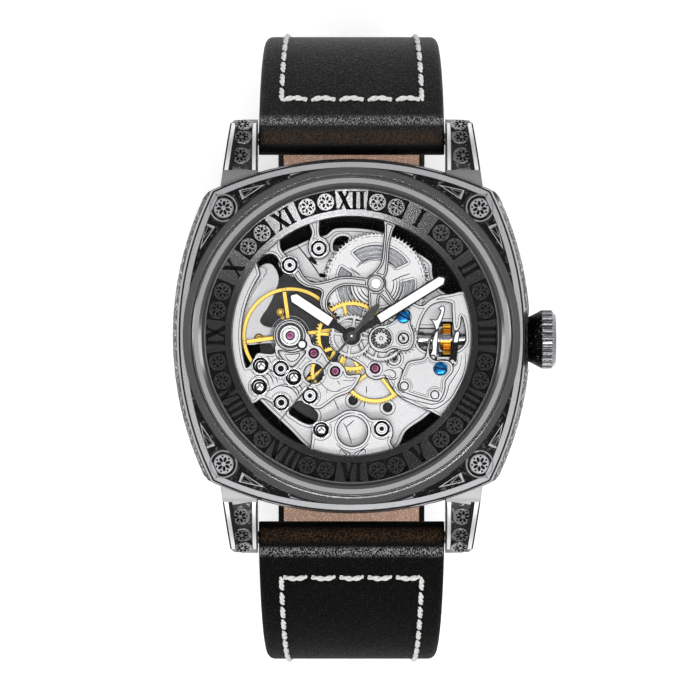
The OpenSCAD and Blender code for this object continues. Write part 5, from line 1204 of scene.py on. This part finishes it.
# On the case top and on the gilt wheels the band at the edge is painted shade as well.
CASE_BORDERS = {"case_middle": (9.85, 9.95, [(0.0, 0.22)])}
GILT_BORDERS = {
    "centre_wheel": (5.5, 5.6, [(0.0, 0.03)]), "third_wheel": (4.0, 4.2, [(0.0, 0.03)]),
    "fourth_wheel": (5.1, 5.3, [(0.0, 0.03)]), "balance_wheel": (3.6, 4.05, [(0.0, 0.05)]),
    "regulator": (2.0, 6.0, [(0.0, 0.07)]),
}
for borders, finish in ((BORDERS, line_black), (CASE_BORDERS, line_black), (GILT_BORDERS, gilt_edge_shade)):
    for node, (low, high, bands) in borders.items():
        bm = bmesh.new()
        edge_ribbons(bm, node, low, high, bands)
        keep_upward(bm, "lines_" + node, finish, body_of(nodes[node])[0])

# %% The satin strip along the case's shoulder
satin_steel = metal("satin_steel", (0.30, 0.30, 0.31, 1), 0.30, edge=0.03, shade_share=0.7)
outer_wall = max((evenly(loop, 0.12 * mm) for loop in outlines_of("case_middle", 9.85, 9.95)),
                 key=lambda wall: np.abs(wall[:, 0]).max())
for name, finish, insets, lift in (("shoulder_strip", satin_steel, (0.24, 0.98), 0.008),
                                   ("shoulder_line", line_black, (0.90, 0.99), 0.009)):
    bm = bmesh.new()
    rows = [[bm.verts.new((x, y, z + lift * mm)) for x, y, z in moved_in(outer_wall, d * mm)] for d in insets]
    lace(bm, *rows)
    keep_upward(bm, name, finish, "case")

# %% [markdown]
# ## Engraving along given curves
# The plates carry scrolls, veins and contour lines that follow no edge. Each is a few points that a
# smooth curve joins. The curve is laid on the metal by looking straight down on the piece, so it lies
# on whatever height it meets, and it is cut as a dark line with a bright burr beside it.

# %% Curves laid on a piece
def smooth_curve(points, parts=7):
    """Points along a smooth curve through a few given ones."""
    ends = [points[0]] + list(points) + [points[-1]]
    curve = []
    for a, b, c, d in zip(ends, ends[1:], ends[2:], ends[3:]):
        for k in range(parts):
            t = k / parts
            curve.append(tuple(0.5 * (2 * q + (r - p) * t + (2 * p - 5 * q + 4 * r - s) * t**2
                                      + (3 * q - p - 3 * r + s) * t**3) for p, q, r, s in zip(a, b, c, d)))
    return curve + [tuple(points[-1])]


SAME_FACE = 0.05  # a line isn't drawn over a step higher than this


def engrave(bm, tree, curve, width, shift, lift):
    """A flat line along a curve in millimetres, thin at both ends, lying on the metal."""
    rows = []
    for i, (x, y) in enumerate(curve):
        x0, y0 = curve[max(0, i - 1)]
        x1, y1 = curve[min(len(curve) - 1, i + 1)]
        along = math.hypot(x1 - x0, y1 - y0) or 1.0
        nx, ny = (y0 - y1) / along, (x1 - x0) / along
        taper = min(1.0, 0.35 + 3.0 * min(i, len(curve) - 1 - i) / len(curve))
        row = []
        for side in (-0.5, 0.5):
            px = (x + nx * side * width * taper + shift[0]) * mm
            py = (y + ny * side * width * taper + shift[1]) * mm
            hit = tree.ray_cast(Vector((px, py, 12 * mm)), Vector((0, 0, -1)))[0]
            row.append(None if hit is None else bm.verts.new((px, py, hit.z + lift * mm)))
        rows.append(row)
    for (a, b), (c, d) in zip(rows, rows[1:]):
        if None not in (a, b, c, d):
            heights = [v.co.z for v in (a, b, c, d)]
            if max(heights) - min(heights) < SAME_FACE * mm:
                bm.faces.new((a, b, d, c))
    bmesh.ops.delete(bm, geom=[v for v in bm.verts if not v.link_faces], context="VERTS")


def ring_points(centre, radius, start, stop, parts=8):
    return [(centre[0] + radius * math.cos(math.radians(start + (stop - start) * k / parts)),
             centre[1] + radius * math.sin(math.radians(start + (stop - start) * k / parts)))
            for k in range(parts + 1)]


# %% What is engraved on each plate
SCROLLS = [
    [(-8.51, -2.32), (-7.54, -2.36), (-6.6, -2.24), (-6.94, -2.96), (-7.58, -3.25), (-8.14, -2.96),
     (-8.51, -2.32)],
    [(-12.49, -4.67), (-11.36, -4.46), (-10.34, -5.06), (-9.89, -6.14)],
    [(-12.41, -5.17), (-11.48, -4.97), (-10.76, -5.51), (-10.46, -6.32)],
    [(-11.0, -4.35), (-10.4, -4.3), (-9.64, -4.97), (-9.38, -5.99)],
    [(-9.14, -6.14), (-7.76, -6.22), (-6.86, -6.89), (-6.64, -7.72)],
    [(-8.51, -5.69), (-7.16, -5.84), (-6.38, -6.56), (-6.19, -7.19)],
    [(-11.36, -7.22), (-10.31, -6.89), (-9.19, -6.32), (-7.76, -6.6), (-7.01, -7.34), (-6.86, -7.87)],
    [(-9.3, -2.5), (-9.0, -3.1), (-8.5, -3.6), (-8.2, -4.2)],
    [(-9.75, -1.5), (-9.6, -2.4), (-9.2, -3.0)],
    [(4.06, -4.57), (4.7, -4.28), (5.4, -4.5), (5.62, -5.06), (5.19, -5.35), (4.77, -4.92)],
    [(4.06, -4.78), (4.48, -5.35), (5.33, -5.56), (5.9, -5.2)],
    [(6.04, -3.93), (6.47, -4.28), (6.33, -4.78)],
    [(3.3, -3.2), (3.9, -3.0), (4.5, -3.3), (4.7, -3.9)],
]
SETTING_MARK = [(6.92, 0.22), (6.6, 0.42), (6.3, 0.2), (6.5, -0.08), (6.8, -0.3), (6.62, -0.6), (6.2, -0.52)]
VEINS = [
    [(-4.16, -5.17), (-3.86, -5.99), (-3.11, -6.74), (-2.21, -7.07), (-1.24, -6.92)],
    [(-3.11, -6.74), (-3.14, -7.31)],
    [(-1.84, -5.62), (-1.43, -6.22)],
    [(-1.99, -7.07), (-0.86, -6.56), (0.11, -6.22)],
    [(0.56, -5.21), (0.04, -5.69), (-1.09, -5.62)],
    [(-3.86, -5.24), (-3.26, -4.87)],
]
CONTOURS = [
    [(5.55, -5.35), (5.4, -6.62), (5.9, -7.47), (7.18, -7.97), (8.88, -8.4), (10.3, -8.68), (11.58, -8.25),
     (12.15, -7.19), (12.43, -6.2), (13.07, -5.2), (13.78, -3.93), (13.99, -2.51)],
    [(5.26, -6.2), (5.48, -7.33), (6.47, -8.18), (8.31, -8.89), (10.02, -9.25), (11.15, -9.03), (12.57, -7.9),
     (13.42, -6.48), (14.13, -5.06), (14.49, -3.36), (14.42, -1.8)],
    [(12.0, -9.2), (13.0, -7.9), (13.9, -6.3), (14.5, -4.8)],
    [(-1.99, -13.64), (-1.24, -14.32), (-0.41, -14.77), (-0.04, -15.22)],
    [(2.21, -13.64), (1.46, -14.32), (0.64, -14.77), (0.26, -15.22)],
    [(-1.46, -15.1), (-1.39, -14.47), (-0.71, -14.92), (-0.56, -15.2)],
    [(1.84, -15.1), (1.66, -14.39), (0.97, -14.84), (0.79, -15.2)],
]
LOWER_LINES = [
    [(-1.09, -11.09), (-0.68, -11.69), (-0.26, -12.82), (0.11, -13.82)],
    [(-0.68, -11.62), (0.37, -10.72)],
    [(-2.21, -8.09), (-1.94, -8.77), (-1.61, -9.52)],
    [(1.91, -6.37), (1.91, -7.31)],
    [(1.76, -8.36), (1.57, -9.14)],
]
UPPER_LINES = [
    [(-7.13, 11.86), (-5.41, 9.72), (-3.89, 7.52)],
    [(-5.5, 10.1), (-4.3, 9.03)],
    [(-4.1, 8.0), (-3.34, 7.45)],
]
OPENINGS = [[(-5.35, 10.1), (-4.95, 9.7), (-4.5, 9.2)], [(-4.15, 7.85), (-3.75, 7.75), (-3.3, 7.7)],
            [(-1.9, 11.5), (-1.8, 12.1), (-1.3, 12.6), (-0.7, 12.75), (-0.3, 12.5)]]
BARREL_AT = (3.09, 6.69)
COILS = [ring_points(BARREL_AT, r, 188, 285) for r in (2.0, 2.45, 2.9, 3.35, 3.8)]
COILS += [ring_points(BARREL_AT, r, 35, 140) for r in (3.15, 3.3)]
COILS += [ring_points(BARREL_AT, r, -52, 12) for r in (2.3, 2.7, 3.1, 3.5)]
COILS += [[(5.11, 7.01), (6.28, 7.56), (7.52, 7.97)], [(-0.2, 8.73), (0.5, 8.2), (1.18, 7.7)]]
TEETH = [[ring_points(BARREL_AT, r, a, a + 0.1, 1)[0] for r in (6.45, 6.62, 6.8)]
         for a in list(range(135, 172, 3)) + list(range(0, 24, 3))]
ENGRAVED = {
    "scrolls": (["front_bridge", "main_plate", "pallet_bridge"], SCROLLS, 0.13),
    "veins": (["main_plate", "front_bridge"], VEINS, 0.09),
    "contours": (["main_plate", "setting_cover"], CONTOURS, 0.12),
    "lower_lines": (["train_bridge"], LOWER_LINES, 0.12),
    "upper_lines": (["barrel_bridge"], UPPER_LINES, 0.16),
    "coils": (["barrel"], COILS, 0.13),
    "teeth": (["barrel_bridge", "barrel"], TEETH, 0.2),
    "openings": (["barrel_bridge"], OPENINGS, 0.5),
    "setting_mark": (["setting_wheel"], [SETTING_MARK], 0.14),
}
BURR = (0.08, -0.08)
for name, (pieces, curves, width) in ENGRAVED.items():
    corners, faces = [], []
    for piece in pieces:
        mesh = nodes[piece].data
        first = len(corners)
        corners += [v.co.copy() for v in mesh.vertices]
        faces += [[first + i for i in f.vertices] for f in mesh.polygons]
    tree = BVHTree.FromPolygons(corners, faces)
    for suffix, finish, share, shift, lift in (("cut", line_black, 1.0, (0, 0), 0.010),
                                               ("burr", polished, 0.7, BURR, 0.007)):
        bm = bmesh.new()
        for curve in curves:
            engrave(bm, tree, smooth_curve(curve), width * share, shift, lift)
        keep_upward(bm, "engraved_%s_%s" % (name, suffix), finish, body_of(nodes[pieces[0]])[0])

# %% [markdown]
# ## Turned rings, screw heads and black enamel
# Small round details share one shape: a profile of radius and height turned round a centre. Rings
# frame the corner discs, and each screw gets painted shade on its seat and in its socket.

# %% Rings round a centre
def lathe(bm, centre, profile, steps=48):
    """Turns a profile of (radius, height) round an upright axis; all in millimetres."""
    cx, cy = centre
    rings = []
    turns = [2 * math.pi * k / steps for k in range(steps)]
    for radius, height in profile:
        rings.append([bm.verts.new(((cx + radius * math.cos(a)) * mm, (cy + radius * math.sin(a)) * mm,
                                    height * mm)) for a in turns])
    for inner, outer in zip(rings, rings[1:]):
        lace(bm, inner, outer)
    return rings


FLAT = 0.02


def disc(bm, centre, radius, height):
    rings = lathe(bm, centre, [(radius, height - FLAT), (radius, height)], 32)
    bm.faces.new(rings[1])
    bm.faces.new(rings[0][::-1])


def annulus(bm, centre, inner, outer, height):
    lathe(bm, centre, [(inner, height - FLAT), (inner, height), (outer, height), (outer, height - FLAT),
                       (inner, height - FLAT)])


CORNER_DISC = 16.2
CORNER_RING = [(1.58, 9.7), (1.58, 9.95), (1.64, 10.0), (1.72, 10.0), (1.78, 9.95), (1.78, 9.86)]
bm = bmesh.new()
for sx, sy in QUARTERS:
    lathe(bm, (sx * CORNER_DISC, sy * CORNER_DISC), CORNER_RING)
keep(bm, "corner_rings", ornament_steel, "case")

HEAD_TOP, SEAT_TOP, SEAT_R = 6.49, 6.6, 0.94
EYED_SCREWS = [(-5.3, -7.58), (3.83, -11.77), (-4.16, 11.15)]
DARK_SCREWS = [(-8.94, -8.46), (-9.0, -4.14)]
PIN_SCREWS = [(-3.89, -11.9), (-11.57, -3.74), (-11.77, -6.44), (-7.39, -5.22)]
HIGH_SCREW, HIGH_TOP = (-7.86, 9.03), 7.02
# Painted shade: black discs and rings in each screw's socket, round its head and on its seat; on the pin
# screws a ring set off to one side is a painted shadow.
bm = bmesh.new()
for place in EYED_SCREWS + [HIGH_SCREW]:
    top = HIGH_TOP if place == HIGH_SCREW else HEAD_TOP
    disc(bm, place, 0.26, top + 0.008)
    annulus(bm, place, 0.50, 0.55, top + 0.008)
    annulus(bm, place, 0.72, SEAT_R, top - 0.2)
for place in DARK_SCREWS:
    disc(bm, place, 0.40, HEAD_TOP + 0.008)
    annulus(bm, place, 0.56, 0.62, HEAD_TOP + 0.008)
    annulus(bm, place, 0.68, SEAT_R, HEAD_TOP - 0.1)
for x, y in PIN_SCREWS:
    annulus(bm, (x, y), 0.62, SEAT_R, HEAD_TOP - 0.2)
    annulus(bm, (x + 0.06, y - 0.08), 0.52, 0.72, HEAD_TOP + 0.008)
keep(bm, "screw_painted_shade", numeral_black, "case")
bm = bmesh.new()
for x, y in PIN_SCREWS:
    lathe(bm, (x + 0.06, y - 0.08), [(0.02, 6.62), (0.30, 6.60), (0.46, 6.54), (0.52, HEAD_TOP + 0.01)])
for place in EYED_SCREWS + DARK_SCREWS + PIN_SCREWS + [HIGH_SCREW]:
    top = HIGH_TOP + 0.02 if place == HIGH_SCREW else SEAT_TOP
    lathe(bm, place, [(1.0, top), (1.03, top + 0.05), (1.12, top + 0.05), (1.16, top)])
keep(bm, "screw_collars", polished, "case", smooth=True)

# %% Dark rings round the jewels
bm = bmesh.new()
bm.from_mesh(nodes["jewels"].data)
bmesh.ops.remove_doubles(bm, verts=bm.verts, dist=0.0005 * mm)
left, stones = set(bm.verts), []
for first in bm.verts:
    if first not in left:
        continue
    left.remove(first)
    reached, island = [first], []
    while reached:
        vertex = reached.pop()
        island.append(vertex.co / mm)
        for edge in vertex.link_edges:
            other = edge.other_vert(vertex)
            if other in left:
                left.remove(other)
                reached.append(other)
    xs, ys = [c.x for c in island], [c.y for c in island]
    stones.append(((min(xs) + max(xs)) / 2, (min(ys) + max(ys)) / 2, (max(xs) - min(xs)) / 2,
                   max(c.z for c in island)))
bm.free()
bm = bmesh.new()
for x, y, radius, top in stones:
    print("jewel %.2f %.2f radius %.2f top %.2f" % (x, y, radius, top))
    if top > 5:
        annulus(bm, (x, y), radius * 0.80, radius * 1.12, top + 0.012)
        annulus(bm, (x, y), radius * 0.22, radius * 0.34, top + 0.012)
CLIP_AT = (5.40, -2.78)
disc(bm, CLIP_AT, 0.36, 6.22)
annulus(bm, CLIP_AT, 0.50, 0.58, 6.22)
keep(bm, "jewel_dark_rings", numeral_black, "case")
FORK_JEWEL = min(stones, key=lambda stone: math.hypot(stone[0] + 6.26, stone[1] + 1.04))
bm = bmesh.new()
disc(bm, FORK_JEWEL[:2], FORK_JEWEL[2] * 0.80, FORK_JEWEL[3] + 0.02)
keep(bm, "fork_cap", polished, "case")

# %% Domed blue screws, with their slots
BLUE_SCREWS = [((6.58, 2.47), 8.1, -30), ((11.28, -4.12), 7.62, -12)]
BLUE_R, DOME = 0.86, 0.16
SLOT_HALF_LONG, SLOT_WIDE, SLOT_PROUD = 0.80, 0.17, 0.02
bm = bmesh.new()
for place, top, _ in BLUE_SCREWS:
    turns = [math.pi / 2 * k / 8 for k in range(8, 0, -1)]
    curve = [(BLUE_R * math.sin(a), top + DOME * math.cos(a)) for a in turns]
    rings = lathe(bm, place, curve, 40)
    bm.faces.new(rings[-1])
keep(bm, "blue_domes", blued, "case", smooth=True)
bm = bmesh.new()
for (x, y), top, slant in BLUE_SCREWS:
    along = Vector((math.cos(math.radians(slant)), math.sin(math.radians(slant))))
    across = Vector((-along.y, along.x))
    corners = [Vector((x, y)) + along * u * SLOT_HALF_LONG + across * (v * SLOT_WIDE / 2)
               for u, v in ((-1, -1), (1, -1), (1, 1), (-1, 1))]
    prism(bm, [(c.x * mm, c.y * mm) for c in corners], (top + 0.03) * mm, (top + DOME + SLOT_PROUD) * mm)
keep(bm, "blue_slots", numeral_black, "case")


# %% Black enamel in the lugs and between the pierced frames
PANEL_FROM, PANEL_TO, PANEL_STEPS, PANEL_DEEP = 21.05, 27.2, 20, 0.45


def lug_strip(bm, sides_at, lift):
    """A strip along each of the four lugs, between two sides that depend on the place along it."""
    for sx, sy in QUARTERS:
        rows = []
        for k in range(PANEL_STEPS + 1):
            y = PANEL_FROM + (PANEL_TO - PANEL_FROM) * k / PANEL_STEPS
            z = lug_top(y) + lift
            rows.append([bm.verts.new((sx * x * mm, sy * y * mm, z * mm)) for x in sides_at(y)])
        for near, far in zip(rows, rows[1:]):
            lace(bm, near, far, closed=False)


def enamel_finish():
    """Black filling with the bright grain of cut steel left standing in it."""
    finish = Finish("black_enamel")
    cut = finish.noise(1900)
    standing = cut.ramp(0.56, 0.64)
    base = finish.blend(standing, (0.006, 0.006, 0.006, 1), (0.28, 0.28, 0.29, 1))
    finish.set(Base_Color=base, Metallic=standing, Roughness=0.45 - standing * 0.15,
               Normal=finish.bump(cut, 0.6, 0.06 * mm))
    return finish.material


black_enamel = enamel_finish()
bm = bmesh.new()
lug_strip(bm, lambda y: (12.67, 15.33 - 1.1 * max(0.0, (y - 21.6) / 5.6)), 0.012 - PANEL_DEEP)
keep_upward(bm, "lug_enamel", black_enamel, "case")


def outer_side(y):
    """How far the lug's slanting outer side is from the middle, in millimetres."""
    return 16.6 - 1.1 * (y - 19.2) / 7.9


INNER_SIDE = 12.0


def lug_line(name, outer_lines, inner_lines, finish, lift):
    """Lines along the outer and the inner side of each lug's sunk panel, on its rim."""
    bm = bmesh.new()
    for a, b in outer_lines:
        lug_strip(bm, lambda y: (outer_side(y) - a, outer_side(y) - b), lift)
    for a, b in inner_lines:
        lug_strip(bm, lambda y: (INNER_SIDE + a, INNER_SIDE + b), lift)
    keep_upward(bm, name, finish, "case")


lug_bright = metal("lug_bright", (0.86, 0.86, 0.87, 1), 0.48, edge=0.03)
lug_line("lug_outlines", [(1.2, 0.70), (0.2, 0.02)], [(0.02, 0.14)], line_black, 0.010)
lug_line("lug_polish", [(0.70, 0.2)], [(0.16, 0.6)], lug_bright, 0.008)


def frame_points(points, share):
    """A triangle drawn towards its own middle by a share of its size."""
    cx = sum(x for x, _ in points) / 3
    cy = sum(y for _, y in points) / 3
    return [(cx + (x - cx) * share, cy + (y - cy) * share) for x, y in points]


OUTER_FRAME = [(10.9, 19.2), (14.3, 18.45), (13.85, 17.25)]
INNER_FRAME = [(12.6, 18.6), (13.85, 18.2), (13.6, 17.65)]
bm = bmesh.new()
outside, inside = frame_points(OUTER_FRAME, 0.74), frame_points(INNER_FRAME, 1.22)
for sx, sy in QUARTERS:
    for swap in (False, True):
        corners = []
        for x, y in outside + inside:
            u, v = (y, x) if swap else (x, y)
            corners.append(bm.verts.new((sx * u * mm, sy * v * mm, 9.862 * mm)))
        lace(bm, corners[:3], corners[3:])
keep_upward(bm, "frame_enamel", numeral_black, "case")

# %% [markdown]
# ## The studio
# A pale floor, a wide soft light above the watch and darker sides, so that the polished edges have
# something to mirror. The camera looks straight down on the dial, as in a catalogue.

# %% Floor, lights and camera
def paper_floor():
    low = cad_box[0][2]
    mesh = bpy.data.meshes.new("paper")
    half = 600 * mm
    corners = [(-half, -half, low), (half, -half, low), (half, half, low), (-half, half, low)]
    mesh.from_pydata(corners, [], [(0, 1, 2, 3)])
    floor = new_object("paper", mesh)
    paper = plain("paper", (0.95, 0.95, 0.95, 1), 0.8)
    glow = paper.node_tree.nodes["Principled BSDF"].inputs
    glow["Emission Color"].default_value = (1, 1, 1, 1)
    glow["Emission Strength"].default_value = 0.32
    mesh.materials.append(paper)


paper_floor()


def soft_light(name, bearing, from_zenith, distance, size, radiance, aim=(0, 0, 5 * mm)):
    """A square of light that shines with one brightness all over, placed by its angles."""
    out = math.sin(math.radians(from_zenith)) * distance
    at = Vector(aim) + Vector((
        out * math.sin(math.radians(bearing)), out * math.cos(math.radians(bearing)),
        math.cos(math.radians(from_zenith)) * distance,
    ))
    lamp = bpy.data.lights.new(name, "AREA")
    lamp.shape = "RECTANGLE"
    lamp.size, lamp.size_y = size
    lamp.energy = radiance * math.pi * size[0] * size[1]
    light = new_object(name, lamp)
    light.location = at
    light.rotation_euler = (at - Vector(aim)).to_track_quat("Z", "Y").to_euler()


# Bearings are degrees from twelve o'clock towards three.
soft_light("overhead", 0, 0, 0.72, (0.30, 0.30), 1.05)
soft_light("high_south", 168, 19.5, 0.75, (0.40, 0.12), 15.0)
soft_light("west", 275, 58, 0.70, (0.18, 0.55), 1.6)
soft_light("east", 85, 58, 0.70, (0.18, 0.55), 1.9)
soft_light("south", 180, 58, 0.70, (0.50, 0.16), 0.4)
for bearing, radiance in ((45, 3.4), (135, 2.6), (225, 2.6), (315, 3.4)):
    soft_light("fill_%d" % bearing, bearing, 44, 0.85, (0.36, 0.36), radiance)

world = bpy.data.worlds.new("studio")
world.use_nodes = True
world.node_tree.nodes["Background"].inputs["Color"].default_value = (1, 1, 1, 1)
world.node_tree.nodes["Background"].inputs["Strength"].default_value = 0.30
bpy.context.scene.world = world
bpy.context.scene.view_settings.view_transform = "Standard"

CAMERA_AT = (-0.2 * mm, -1.77 * mm, 661 * mm)
SEEN_FROM, SEEN_WIDE = 650 * mm, 88.4 * mm
SENSOR = 36
camera_data = bpy.data.cameras.new("camera")
camera_data.sensor_width = SENSOR
camera_data.lens = SENSOR * SEEN_FROM / SEEN_WIDE
camera = new_object("camera", camera_data)
camera.location = CAMERA_AT
bpy.context.scene.camera = camera
